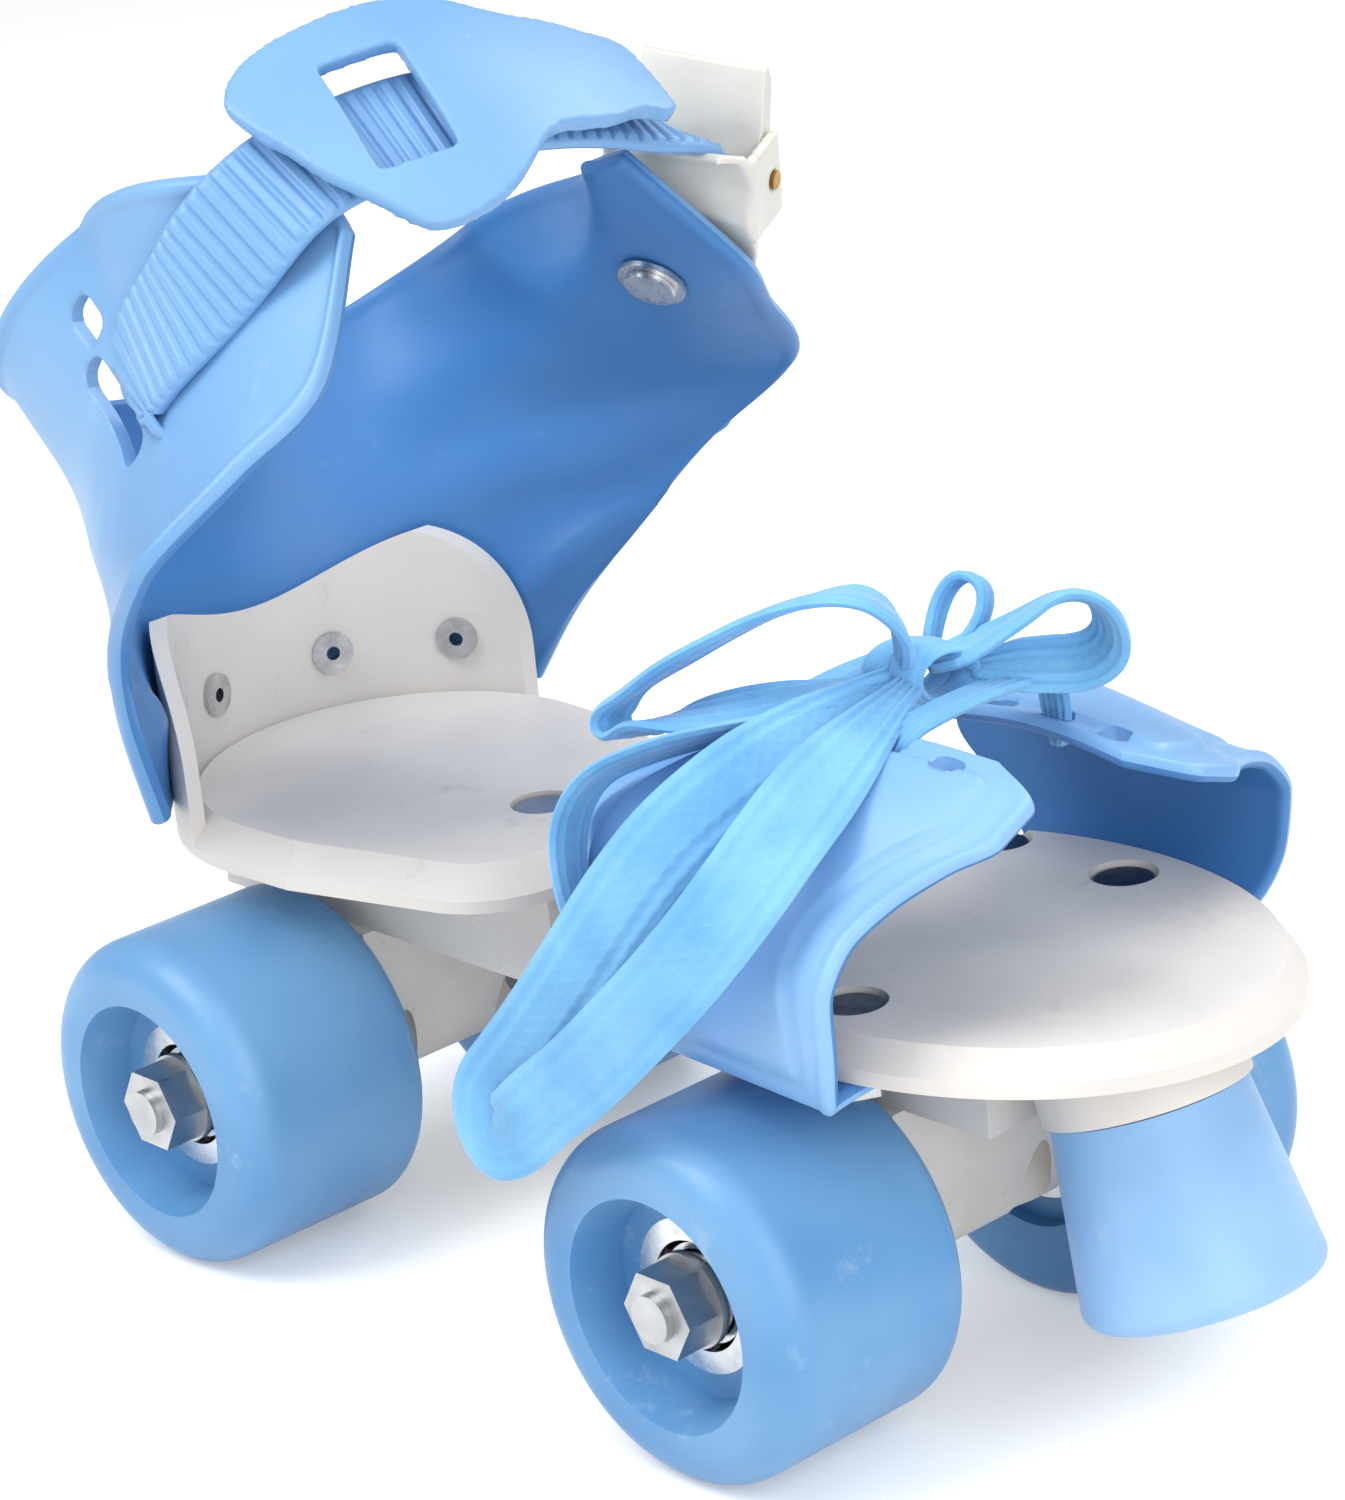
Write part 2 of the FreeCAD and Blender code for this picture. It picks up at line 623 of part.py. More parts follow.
def oval(label, grow, height, z):
    """An oval disc of the toe plate's outline."""
    curve = bind(doc.addObject("Part::Ellipse", label + "_curve"),
                 MajorRadius=size("toe_half_length") + grow, MinorRadius=size("toe_half_width") + grow)
    put(curve, x=size("toe_centre_x"), z=z)
    disc = doc.addObject("Part::Extrusion", label)
    disc.Base = curve
    disc.DirMode = "Custom"
    disc.Dir = FreeCAD.Vector(0, 0, 1)
    disc.Solid = True
    return bind(disc, LengthFwd=height)


def toe_blank():
    """Oval plate whose rim slopes from the bed to a short upright edge."""
    bed = oval("toe_bed_curve", -size("toe_bevel_width"), 1, 0)
    edge = oval("toe_edge_curve", 0, 1, 0)
    top = doc.getObject("toe_bed_curve_curve")
    low = doc.getObject("toe_edge_curve_curve")
    put(low, x=size("toe_centre_x"), z=-size("toe_bevel_height"))
    slope = doc.addObject("Part::Loft", "toe_rim_slope")
    slope.Sections = [low, top]
    slope.Solid = True
    slope.Ruled = True
    upright = oval("toe_upright", 0, size("plate_thickness") - size("toe_bevel_height"), plate_under)
    doc.removeObject(bed.Name)
    doc.removeObject(edge.Name)
    return fuse("toe_plate_blank", slope, upright)


def along_stop(thing, down):
    """Places a piece on the toe stop's leaning axle line, a distance below its top face."""
    lean = math.radians(size("stop_tilt").value)
    x = size("stop_x") + down * math.sin(lean)
    z = size("stop_z") - down * math.cos(lean)
    return put(thing, x=x, z=z, axis=(0, 1, 0), angle=-size("stop_tilt").value)


def stop_cylinder(label, radius, top, bottom):
    """A cylinder on the stop's line from one depth to a lower one."""
    top, bottom = as_size(top), as_size(bottom)
    return along_stop(bind(doc.addObject("Part::Cylinder", label), Radius=radius, Height=bottom - top), bottom)


def stop_pad():
    """The thick seat under the toe that the stop is bolted against."""
    post = stop_cylinder("stop_pad_post", size("pad_radius"), -24, -size("stop_gap"))
    below = box("stop_pad_limit", 80, 80, 60, x=size("stop_x") - 40, y=-40, z=plate_under - 58)
    return common("stop_pad", post, below)


def toe_screw_places():
    return [(x, side * size("toe_screw_y")) for x in (size("toe_screw_back_x"), size("toe_screw_front_x"))
            for side in (-1, 1)]


def toe_plate():
    front_spine = spine("toe_spine", size("toe_spine_back_x"), size("toe_spine_front_x"))
    front_channel = channel("toe_channel", size("toe_spine_back_x") - 5, size("toe_spine_front_x") - 5)
    tools = [front_channel]
    for i, (x, y) in enumerate(toe_screw_places()):
        tools.append(cylinder(f"toe_hole_{i}", size("toe_screw_radius") + 0.1, size("plate_thickness") + 2,
                              x=x, y=y, z=plate_under - 1))
        tools.append(cylinder(f"toe_recess_{i}", size("recess_radius"), size("recess_depth"),
                              x=x, y=y, z=-size("recess_depth")))
    tools += screw_holes("toe_screw_hole", "front", size("housing_screw_radius") + 0.1, spine_under - 1,
                         size("channel_floor") + 2)
    tools.append(stop_cylinder("insert_seat", size("insert_radius"), -size("insert_length") - 1, 1))
    keep(cut("toe_plate", fuse("toe_plate_solid", toe_blank(), front_spine, stop_pad()), *tools))


def toe_stop():
    """Cone of soft plastic, wider at the ground, bolted up from below."""
    body = new_body("toe_stop")
    sketch = new_sketch(body, "XZ_Plane")
    height, web = size("stop_height"), size("stop_web")
    bore, well = size("stop_bolt_radius") + 0.1, size("stop_bolt_head") + 2
    outline(sketch, [(bore, 0), (size("stop_top_radius"), 0), (size("stop_bottom_radius"), -height),
                     (well, -height), (well, -web), (bore, -web)])
    revolve(body, sketch)
    low = -height.value
    round_edges(body, size("stop_round"), lambda p: p.z < low + 0.01 and math.hypot(p.x, p.y) > 15)
    keep(along_stop(body, 0))
    head = stop_cylinder("stop_bolt_head", size("stop_bolt_head"), web + 0.05, web + size("stop_bolt_head_height"))
    shank = stop_cylinder("stop_bolt_shank", size("stop_bolt_radius"), -size("insert_length"), web + 1)
    keep(fuse("toe_stop_bolt", head, shank))
    sleeve = stop_cylinder("insert_outside", size("insert_radius"), -size("insert_length") - 0.5, -size("stop_gap"))
    hole = stop_cylinder("insert_hole", size("stop_bolt_radius") + 0.02, -size("insert_length") - 1, 0)
    keep(cut("toe_stop_insert", sleeve, hole))


def slide_bar():
    """Rail that ties the halves together: a trough with a long slot for the clamp bolt."""
    half = size("channel_half") - size("bar_clearance")
    low = spine_under + size("channel_floor") + size("bar_clearance")
    front_x = size("toe_spine_front_x") - 5
    back_x = size("bar_back_x")
    rail = box("bar_rail", front_x - back_x, half * 2, plate_under - low - size("bar_clearance"),
               x=back_x, y=-half, z=low)
    trough = box("bar_trough", front_x - back_x + 2, (half - size("bar_wall")) * 2, 40,
                 x=back_x - 1, y=size("bar_wall") - half, z=low + size("bar_wall"))
    width = size("clamp_radius") + size("clamp_clearance")
    slot_back, slot_front = size("clamp_x") - size("slide_out"), size("clamp_x") + size("slide_in")
    slot = box("bar_slot", slot_front - slot_back, width * 2, 20, x=slot_back, y=-width, z=low - 5)
    ends = [cylinder(f"bar_slot_end_{i}", width, 20, x=x, z=low - 5) for i, x in enumerate((slot_back, slot_front))]
    holes = screw_holes("bar_screw_hole", "front", size("housing_screw_radius") + 0.1, low - 1, 20)
    keep(cut("slide_bar", rail, trough, slot, *ends, *holes))


def toe_strap_screws():
    """Screws in the toe bed, and the nuts and washers that hold the strap's hems under the plate."""
    screws, nuts, washers = [], [], []
    hem = size("hem_wall")
    for i, (x, y) in enumerate(toe_screw_places()):
        head = cylinder(f"toe_head_{i}", size("toe_screw_head"), size("recess_depth") - 0.8,
                        x=x, y=y, z=-size("recess_depth"))
        washer_z = plate_under - hem - 0.4 - 1.0
        nut_z = washer_z - size("toe_nut_height")
        shank = cylinder(f"toe_shank_{i}", size("toe_screw_radius"), -size("recess_depth") - nut_z + 1.5,
                         x=x, y=y, z=nut_z - 1)
        screws.append(fuse(f"toe_screw_{i}", head, shank))
        bore = size("toe_screw_radius") + 0.02
        prism = put(bind(doc.addObject("Part::Prism", f"toe_nut_hexagon_{i}"),
                         Circumradius=size("toe_nut_flats") / math.sqrt(3), Height=size("toe_nut_height")),
                    x=x, y=y, z=nut_z)
        prism.Polygon = 6
        nuts.append(cut(f"toe_nut_{i}", prism, cylinder(f"toe_nut_bore_{i}", bore, 20, x=x, y=y, z=nut_z - 8)))
        disc = cylinder(f"toe_washer_disc_{i}", size("toe_nut_flats") * 0.62, 1.0, x=x, y=y, z=washer_z)
        washers.append(cut(f"toe_washer_{i}", disc, cylinder(f"toe_washer_bore_{i}", bore, 4, x=x, y=y, z=washer_z - 1)))
    keep(group("toe_strap_screws", screws))
    keep(group("toe_strap_nuts", nuts))
    keep(group("toe_strap_washers", washers))


toe_plate()
slide_bar()
toe_stop()
toe_strap_screws()


# Bent sheets

def vector(x, y, z):
    return FreeCAD.Vector(x, y, z)


def between(low, high, share):
    return low + (high - low) * share


def through(points):
    """A smooth curve through points."""
    curve = Part.BSplineCurve()
    curve.interpolate(points)
    return curve


def eased(stations, where):
    """The value at a place on a curve through (place, value) stations that never overshoots them."""
    places = [place for place, _ in stations]
    values = [value for _, value in stations]
    slopes = [(v1 - v0) / (p1 - p0) for p0, p1, v0, v1 in zip(places, places[1:], values, values[1:])]
    tangents = [slopes[0]]
    for before, after in zip(slopes, slopes[1:]):
        tangents.append(2 * before * after / (before + after) if before * after > 0 else 0.0)
    tangents.append(slopes[-1])
    i = min(max(sum(1 for place in places[1:] if place <= where), 0), len(slopes) - 1)
    width = places[i + 1] - places[i]
    share = (where - places[i]) / width
    rest = 1 - share
    return (values[i] * (1 + 2 * share) * rest ** 2 + values[i + 1] * (3 - 2 * share) * share ** 2
            + tangents[i] * width * share * rest ** 2 - tangents[i + 1] * width * share ** 2 * rest)


def deeper(rows, wall):
    """A copy of a grid of points, moved by wall against the normals that its neighbours give."""
    moved = []
    for i, row in enumerate(rows):
        low, high = rows[max(i - 1, 0)], rows[min(i + 1, len(rows) - 1)]
        moved.append([])
        for k, point in enumerate(row):
            up = high[k] - low[k]
            round_ = row[min(k + 1, len(row) - 1)] - row[max(k - 1, 0)]
            moved[-1].append(point - up.cross(round_).normalize() * wall)
    return moved


def sheet_faces(rows):
    """The face through a grid of points and its four borders. Two columns make a ruled face."""
    if len(rows[0]) == 2:
        first, last = (through([row[k] for row in rows]).toShape() for k in (0, 1))
        ends = [Part.LineSegment(*rows[i]).toShape() for i in (0, -1)]
        return Part.makeRuledSurface(first, last), [first, last] + ends
    surface = Part.BSplineSurface()
    surface.interpolate(rows)
    u_low, u_high, v_low, v_high = surface.bounds()
    borders = [surface.uIso(u_low), surface.uIso(u_high), surface.vIso(v_low), surface.vIso(v_high)]
    return surface.toShape(), [border.toShape() for border in borders]


def bent_sheet(rows, wall):
    """A closed solid between the face through a grid of points and its copy, wall deeper."""
    outside, outer_borders = sheet_faces(rows)
    inside, inner_borders = sheet_faces(deeper(rows, wall))
    faces = [outside, inside]
    for outer, inner in zip(outer_borders, inner_borders):
        faces += Part.makeLoft([Part.Wire([outer]), Part.Wire([inner])], False, True).Faces
    shell = Part.Shell(faces)
    shell.sewShape()
    solid = Part.Solid(shell)
    if solid.Volume < 0:
        solid.reverse()
    return solid


def formed(label, shape):
    """A piece whose form is worked out here, kept as an object of the document."""
    feature = doc.addObject("Part::Feature", label)
    feature.Label = label
    feature.Shape = shape
    return feature


def local_box(frame, start, length, half_width, low, high, side=0.0):
    """A box in a frame (origin, along, across, up), side shifting its middle across."""
    origin, along, across, up = frame
    third = up.cross(along)
    shift = side if third.dot(across) > 0 else -side
    corner = origin + along * start + third * (shift - half_width) + up * low
    solid = Part.makeBox(length, half_width * 2, high - low)
    solid.Placement = FreeCAD.Placement(FreeCAD.Matrix(
        along.x, third.x, up.x, corner.x, along.y, third.y, up.y, corner.y,
        along.z, third.z, up.z, corner.z, 0, 0, 0, 1))
    return solid


# Heel cup: a flared sheet round the counter. Each level is a plan curve from straight back to
# the front edge. Levels give: share of the height, front edge (x, half width, z), back (x, z),
# the back and front handles of the curve, the heading of the front edge, how fast the level
# rises towards the front, and the extra crown of the right flap's rim.

CUP_LEVELS = [
    (0.00, -8.0, 45.0, -0.5, -39.5, -1.0, 21.0, 19.0, 20.0, 1.00, 0.0),
    (0.15, -3.0, 51.0, 12.0, -40.5, 6.0, 23.0, 22.0, 26.0, 1.00, 0.0),
    (0.30, 7.0, 60.0, 28.0, -41.5, 15.0, 25.0, 24.0, 32.0, 1.20, 0.0),
    (0.45, 21.0, 68.5, 46.0, -43.0, 25.0, 28.0, 28.0, 32.0, 1.40, 0.0),
    (0.60, 37.5, 74.0, 61.0, -45.0, 35.0, 38.0, 36.0, 26.0, 1.40, 3.0),
    (0.75, 48.0, 59.5, 76.5, -47.0, 44.0, 56.0, 42.0, 18.0, 1.35, 8.0),
    (0.88, 55.5, 47.0, 88.0, -49.0, 53.0, 76.0, 45.0, 18.0, 1.30, 16.0),
    (1.00, 47.0, 30.0, 109.0, -51.0, 61.0, 95.0, 45.0, 20.0, 1.30, 24.0),
]
CUP_COLUMNS = 24
CUP_ROWS = 16


CUP_SEAT_TOP, CUP_FLARE_FROM = 13.0, 36.0
CUP_EDGE_FREE = 0.78


def step_up(value, low, high):
    """Rises smoothly from 0 at low to 1 at high."""
    share = min(max((value - low) / (high - low), 0.0), 1.0)
    return share * share * (3 - 2 * share)


def cup_point(level, share):
    """A point of the cup's outer face; share runs from -1, right front, round to 1, left front."""
    _, edge_x, edge_y, edge_z, back_x, back_z, back_handle, edge_handle, heading, rise, crown = level
    turn = math.radians(heading)
    a = abs(share)
    weights = ((1 - a) ** 3, 3 * (1 - a) ** 2 * a, 3 * (1 - a) * a ** 2, a ** 3)
    handle_x, handle_y = edge_x - edge_handle * math.cos(turn), edge_y - edge_handle * math.sin(turn)
    x = (weights[0] + weights[1]) * back_x + weights[2] * handle_x + weights[3] * edge_x
    y = weights[1] * back_handle + weights[2] * handle_y + weights[3] * edge_y
    lift = crown if share < 0 else crown / 6
    z = back_z + (edge_z - back_z) * a ** rise + lift * 6.75 * a ** 2 * (1 - a)
    middle = size("heel_centre_x").value
    seat = size("heel_radius").value + size("cup_wall").value + 0.25
    reach = math.hypot(x - middle, y)
    clear = (reach + seat + math.sqrt((reach - seat) ** 2 + 0.16)) / 2
    free = max(step_up(z, CUP_SEAT_TOP, CUP_FLARE_FROM), step_up(a, CUP_EDGE_FREE, 1.0))
    clear = seat + (clear - seat) * free
    x, y = middle + (x - middle) * clear / reach, y * clear / reach
    return vector(x, math.copysign(y, share) if share else 0.0, z)


def cup_rows():
    shares = [2 * i / CUP_COLUMNS - 1 for i in range(CUP_COLUMNS + 1)]
    heights = [i / CUP_ROWS for i in range(CUP_ROWS + 1)]
    columns = list(zip(*CUP_LEVELS))
    levels = [[eased(list(zip(columns[0], column)), height) for column in columns] for height in heights]
    return [[cup_point(level, share) for share in shares] for level in levels]


# Ankle strap: a band along a smooth path from inside the right flap, over the ankle, through
# the buckle and down outside the left flap. Stations near a flap are set off from its outer face.

cup_surface = Part.BSplineSurface()
cup_surface.interpolate(cup_rows())


def off_cup(point, away):
    """The place on the cup's outer face nearest to a point, and the same moved outwards by away."""
    u, v = cup_surface.parameter(vector(*point))
    normal = cup_surface.normal(u, v)
    foot = cup_surface.value(u, v)
    if normal.dot(foot - vector(0, 0, foot.z)) < 0:
        normal = normal * -1
    return foot + normal * away, normal


STRAP_OFF = size("strap_thickness").value / 2 + 0.5
SLIT_POINT = (3, -50, 78.5)
HOLE_POINT = (-6.8, -47.5, 91.4)
STRAP_PATH = [off_cup(SLIT_POINT, -6.5)[0], off_cup(SLIT_POINT, -1.3)[0], off_cup((4.6, -49.2, 80.4), 1.0)[0],
              off_cup((7.5, -47.8, 83.4), STRAP_OFF + 0.3)[0], off_cup((14.5, -44.5, 90), STRAP_OFF + 1.4)[0],
              off_cup((22, -40.5, 98), STRAP_OFF + 2.8)[0], off_cup((29, -35.5, 106), STRAP_OFF + 3.2)[0],
              off_cup((34, -31, 112), STRAP_OFF + 3.0)[0]]
STRAP_PATH += [vector(*point) for point in [
    (40, -22, 120), (44, -10, 121.8), (46, 3, 121.3), (47, 17, 119), (47.5, 30.5, 114.5), (47, 41.6, 107)]]
STRAP_PATH += [off_cup(point, away)[0] for point, away in [
    ((44.5, 44, 95), 7.0), ((37.5, 48, 86), 7.2), ((30, 53, 77.5), 7.2), ((22, 60, 68), 5.6), ((14, 67, 56), 2.6),
    ((6.5, 73.5, 44), 2.4)]]
strap_curve = through(STRAP_PATH)


def strap_frame(distance):
    """Point, direction, width direction and outward normal of the strap at a distance along it."""
    place = strap_curve.parameterAtDistance(distance, strap_curve.FirstParameter)
    point = strap_curve.value(place)
    along = FreeCAD.Vector(*strap_curve.tangent(place)[0]).normalize()
    lean = max(-1.0, min(1.0, point.y / 50))
    across = vector(0.83 - 0.05 * abs(lean), 0.297 * lean, -0.555)
    across = (across - along * across.dot(along)).normalize()
    flat = along.cross(off_cup(point, 0)[1]).normalize()
    if flat.dot(across) < 0:
        flat = flat * -1
    lying = max(1 - step_up(distance, 50, 62), step_up(distance, 132, 150))
    across = (across * (1 - lying) + flat * lying).normalize()
    across = (across - along * across.dot(along)).normalize()
    up = across.cross(along)
    if distance > 30 and up.z < 0:
        up = up * -1
    return point, along, across, up


def rise_off_cup(point):
    """How far a point of the strap's underside has to rise to stay clear of the cup."""
    foot, normal = off_cup(point, 0)
    clearance = 1.3 if point.y < 0 else 0.9
    return min(max(0.0, clearance - (point - foot).dot(normal)), 5.0)


def strap_section(distance, half, low, high):
    """Cross-section of the strap: five points wide, bent so that it lies on the flap under it."""
    point, _, across, up = strap_frame(distance)
    if up.dot(vector(0, point.y, 30)) < 0:
        up = up * -1
    lying = max(step_up(distance, 10, 13) * (1 - step_up(distance, 58, 66)), step_up(distance, 136, 142))
    under, over = [], []
    for share in (-1, -0.5, 0, 0.5, 1):
        place = point + across * share * half + up * low
        place += up * rise_off_cup(place) * lying if lying else vector(0, 0, 0)
        under.append(place)
        over.append(place + up * (high - low))
    corners = under + over[::-1]
    return Part.makePolygon(corners + corners[:1])


def ladder_strap():
    """Ribbed strap with a wide head that stays behind its slit."""
    half, thick = size("strap_width").value / 2, size("strap_thickness").value / 2
    rib, pitch, wide = size("strap_rib").value, size("rib_pitch").value, size("rib_width").value
    start, stop = size("ribs_start").value, size("ribs_end").value
    length = strap_curve.length()
    stations = [(0.0, size("strap_head_width").value / 2, thick), (2.0, size("strap_head_width").value / 2, thick),
                (2.4, half, thick), (5.4, half, thick), (7.5, half, thick), (9.5, half, thick)]
    slope = (pitch - wide) / 3
    along = start
    while along + pitch < stop:
        stations += [(along, half, thick), (along + slope, half, thick + rib),
                     (along + slope + wide, half, thick + rib), (along + slope * 2 + wide, half, thick)]
        along += pitch
    tail = length - along
    for k in range(1, 5):
        stations.append((along + tail * k / 4, half if k < 4 else half * 0.55, thick))
    wires = [strap_section(where, reach, -thick, top) for where, reach, top in stations]
    keep(formed("ladder_strap", Part.makeLoft(wires, True, True)))


def flap_hole():
    """The small hole in the right flap beside the slit."""
    point, normal = off_cup(HOLE_POINT, 0)
    _, _, across, _ = strap_frame(14)
    across = (across - normal * across.dot(normal)).normalize()
    return local_box((point, across.cross(normal), across, normal), -2.2, 4.4, 4.2, -8, 6)


def slit_box(grow):
    """The room that the strap's slit takes in the right flap."""
    point, normal = off_cup(SLIT_POINT, 0)
    _, along, across, _ = strap_frame(14)
    along = (along - normal * along.dot(normal)).normalize()
    across = (across - normal * across.dot(normal)).normalize()
    half = size("strap_width").value / 2 + grow
    thick = size("strap_thickness").value / 2 + grow
    return local_box((point, along, across, normal), -thick - 3.0, thick * 2 + 6.6, half, -8, 6)


PAD_STATIONS = [
    # distance along the strap, edge towards the shin, edge towards the toe
    (0.0, -12.0, -3.0), (2.0, -16.5, 7.0), (5.0, -19.0, 14.5), (9.0, -20.5, 20.5), (14.0, -21.5, 24.5),
    (20.0, -22.0, 25.5), (27.0, -22.0, 24.0), (33.0, -21.5, 19.5), (38.0, -20.5, 15.0), (42.0, -17.5, 13.2),
    (47.0, -14.5, 13.0), (54.0, -12.5, 12.5), (62.0, -10.5, 10.5), (68.0, -8.5, 8.5),
]


def strap_pad():
    """Soft pad on the strap, rounded at the right and tapered to the buckle, with a window."""
    lift = size("strap_thickness").value / 2 + size("strap_rib").value + 0.9 + size("strap_pad_wall").value
    start = size("strap_pad_start").value
    rows = []
    for distance, back, front in PAD_STATIONS:
        point, _, across, up = strap_frame(start + distance)
        row = []
        for k in range(7):
            side = between(back, front, k / 6)
            row.append(point + across * side + up * (lift - 0.004 * side * side))
        rows.append(row)
    solid = bent_sheet(rows, size("strap_pad_wall").value)
    window = local_box(strap_frame(size("window_at").value), -size("window_length").value / 2,
                       size("window_length").value, size("window_width").value / 2, -2, 12, 0.8)
    keep(formed("strap_pad", solid.cut(window)))


# Buckle on the left flap

def buckle_frame():
    return strap_frame(size("buckle_at").value)


def foot_frame():
    """The strap's frame over the buckle's foot."""
    return strap_frame((size("buckle_at") + size("buckle_front") - 8).value)


def left_rivet():
    """Foot point and direction of the buckle's rivet on the left flap's outer face."""
    origin, _, across, _ = foot_frame()
    return off_cup(origin - across * 2, 0)


def buckle():
    """Channel-shaped base with a foot on the flap, lever on a pin between its cheeks."""
    frame = buckle_frame()
    origin, along, across, up = frame
    half, wall, gap = size("buckle_width").value / 2, size("buckle_wall").value, size("buckle_gap").value
    low = -size("strap_thickness").value / 2 - gap
    back, front = size("buckle_back").value, size("buckle_front").value
    cheek = size("buckle_cheek").value
    wires = []
    for k in range(9):
        point, _, wide, out = strap_frame(size("buckle_at").value + between(-back, front, k / 8))
        corners = [point + wide * side * half + out * lift
                   for side, lift in ((-1, low - wall), (1, low - wall), (1, low), (-1, low))]
        wires.append(Part.makePolygon(corners + corners[:1]))
    solid = Part.makeLoft(wires, True, True)
    for way in (-1, 1):
        solid = solid.fuse(local_box(frame, 3 - back, back + 5, wall / 2, low - wall * 0.5, cheek,
                                     way * (half - wall / 2)))
    foot, outward = left_rivet()
    radius = size("buckle_foot_radius").value
    post = Part.makeCylinder(radius, 14, foot + outward * 0.5, outward)
    above = local_box(foot_frame(), -30, 60, 30, low - wall * 0.5, 40)
    solid = solid.fuse(post.cut(above))
    pin_up = size("pin_height").value
    pin_line = origin + up * pin_up
    hole = Part.makeCylinder(size("pin_radius").value, half * 2 + 4, pin_line - across * (half + 2), across)
    rivet_hole = Part.makeCylinder(size("strap_rivet_radius").value + 0.1, 40, foot - outward * 10, outward)
    keep(formed("buckle_base", solid.cut(hole.fuse(rivet_hole))))
    pin = Part.makeCylinder(size("pin_radius").value, half * 2 + 1, pin_line - across * (half + 0.5), across)
    keep(formed("buckle_pin", pin))
    side = half - wall - size("lever_clearance").value
    barrel = [math.radians(angle) for angle in (-110, -70, -30, 10, 50, 90)]
    profile = [(3.2 * math.cos(turn), pin_up + 3.2 * math.sin(turn)) for turn in barrel]
    profile += [(-9, pin_up + 5.2), (-16, pin_up + 6.4), (-18.5, pin_up + 5.6), (-18.8, pin_up + 4.0),
                (-9, pin_up + 1.4), (-5, pin_up - 1.5)]
    corners = [origin + along * x + up * z - across * side for x, z in profile]
    lever = Part.Face(Part.makePolygon(corners + corners[:1])).extrude(across * side * 2)
    bore = Part.makeCylinder(size("pin_radius").value + 0.05, side * 2 + 2, pin_line - across * (side + 1), across)
    keep(formed("buckle_lever", lever.cut(bore)))
    inner = foot - outward * (size("cup_wall").value + 0.15)
    washer = Part.makeCylinder(size("strap_washer_radius").value, 1.0, inner - outward * 1.0, outward)
    washer = washer.cut(Part.makeCylinder(size("strap_rivet_radius").value + 0.05, 6, inner - outward * 3, outward))
    keep(formed("buckle_washer", washer))
    seat, _, _, out = foot_frame()
    reach = (seat + out * (low - wall) - inner).dot(out) / outward.dot(out) + wall / 2

    shank = Part.makeCylinder(size("strap_rivet_radius").value, reach + 2.0, inner - outward * 2.0, outward)
    head = Part.makeCylinder(size("strap_rivet_head").value, 1.2, inner - outward * 2.25, outward)
    keep(formed("buckle_rivet", shank.fuse(head)))


def heel_cup():
    """Flared cup with its rivet holes, the strap's slit and the small hole beside it."""
    solid = bent_sheet(cup_rows(), size("cup_wall").value)
    height = size("rivet_height").value
    middle = vector(size("heel_centre_x").value, 0, height)
    for angle in counter_rivet_places():
        turn = math.radians(180 - angle)
        way = vector(math.cos(turn), math.sin(turn), 0)
        solid = solid.cut(Part.makeCylinder(size("rivet_radius").value, 30, middle + way * 30, way))
    foot, outward = left_rivet()
    solid = solid.cut(Part.makeCylinder(size("strap_rivet_radius").value + 0.1, 20, foot - outward * 10, outward))
    keep(formed("heel_cup", solid.cut([slit_box(1.1), flap_hole()])))


# Toe strap: two wings that start under the toe plate, wrap its rim and meet over the foot.
# Stations run from the hem to the tip, at the wing's rear edge and at its front edge.

HEM_Z = -(size("plate_thickness") + size("hem_wall") + 0.3).value
WING_REAR = [(114, 22, HEM_Z), (116, 45, HEM_Z), (107, 48, 2), (99.5, 46.8, 13.5), (101, 47, 21),
             (104, 45.5, 27.5), (108, 40, 32.5), (111.5, 31, 34.5), (115, 22, 35), (119, 14, 35)]
WING_FRONT = [(158, 24, HEM_Z), (161, 47.6, HEM_Z), (165.5, 52.5, 1), (166.5, 53.3, 11), (167, 48.8, 18.8),
              (169.3, 41, 23.8), (173, 33.5, 27.2), (178.5, 26, 30.8), (178.5, 19.5, 33.8), (167, 13.3, 36.8)]


WING_ROWS = 22
TIP_DROP = {"right": 0.0, "left": 7.0}


def wing_edge(stations, count):
    """Points at even lengths along the broken line of the stations, rounded off at its corners."""
    points = [vector(*station) for station in stations]
    places = [0.0]
    for before, after in zip(points, points[1:]):
        places.append(places[-1] + before.distanceToPoint(after))
    result = []
    for i in range(count + 1):
        where = places[-1] * i / count
        result.append(vector(*(eased(list(zip(places, [station[axis] for station in stations])), where)
                               for axis in range(3))))
    return result


def wing(side):
    """One wing of the toe strap, with its screw holes and lace holes."""
    way = SIDES[side]
    rows = []
    for i, edge_points in enumerate(zip(wing_edge(WING_REAR, WING_ROWS), wing_edge(WING_FRONT, WING_ROWS))):
        drop = TIP_DROP[side] * step_up(i / WING_ROWS, 0.35, 1.0)
        rows.append([vector(point.x, way * point.y, point.z - drop) for point in edge_points])
    solid = bent_sheet(rows, size("hem_wall").value * way)
    tools = []
    for x, y in toe_screw_places():
        if y.value * way > 0:
            tools.append(Part.makeCylinder(size("toe_screw_radius").value + 0.1, 8, vector(x.value, y.value, -14)))
    for share in (0.12, 0.37, 0.62, 0.87):
        place = vector(*WING_REAR[-1]) + (vector(*WING_FRONT[-1]) - vector(*WING_REAR[-1])) * share
        tools.append(Part.makeCylinder(size("lace_hole_radius").value, 12,
                                       vector(place.x, way * size("lace_hole_y").value, place.z - 6 - TIP_DROP[side])))
    keep(formed(f"toe_strap_{side}", solid.cut(tools)))


# Lace: flat cord tied in a bow over the gap of the toe strap

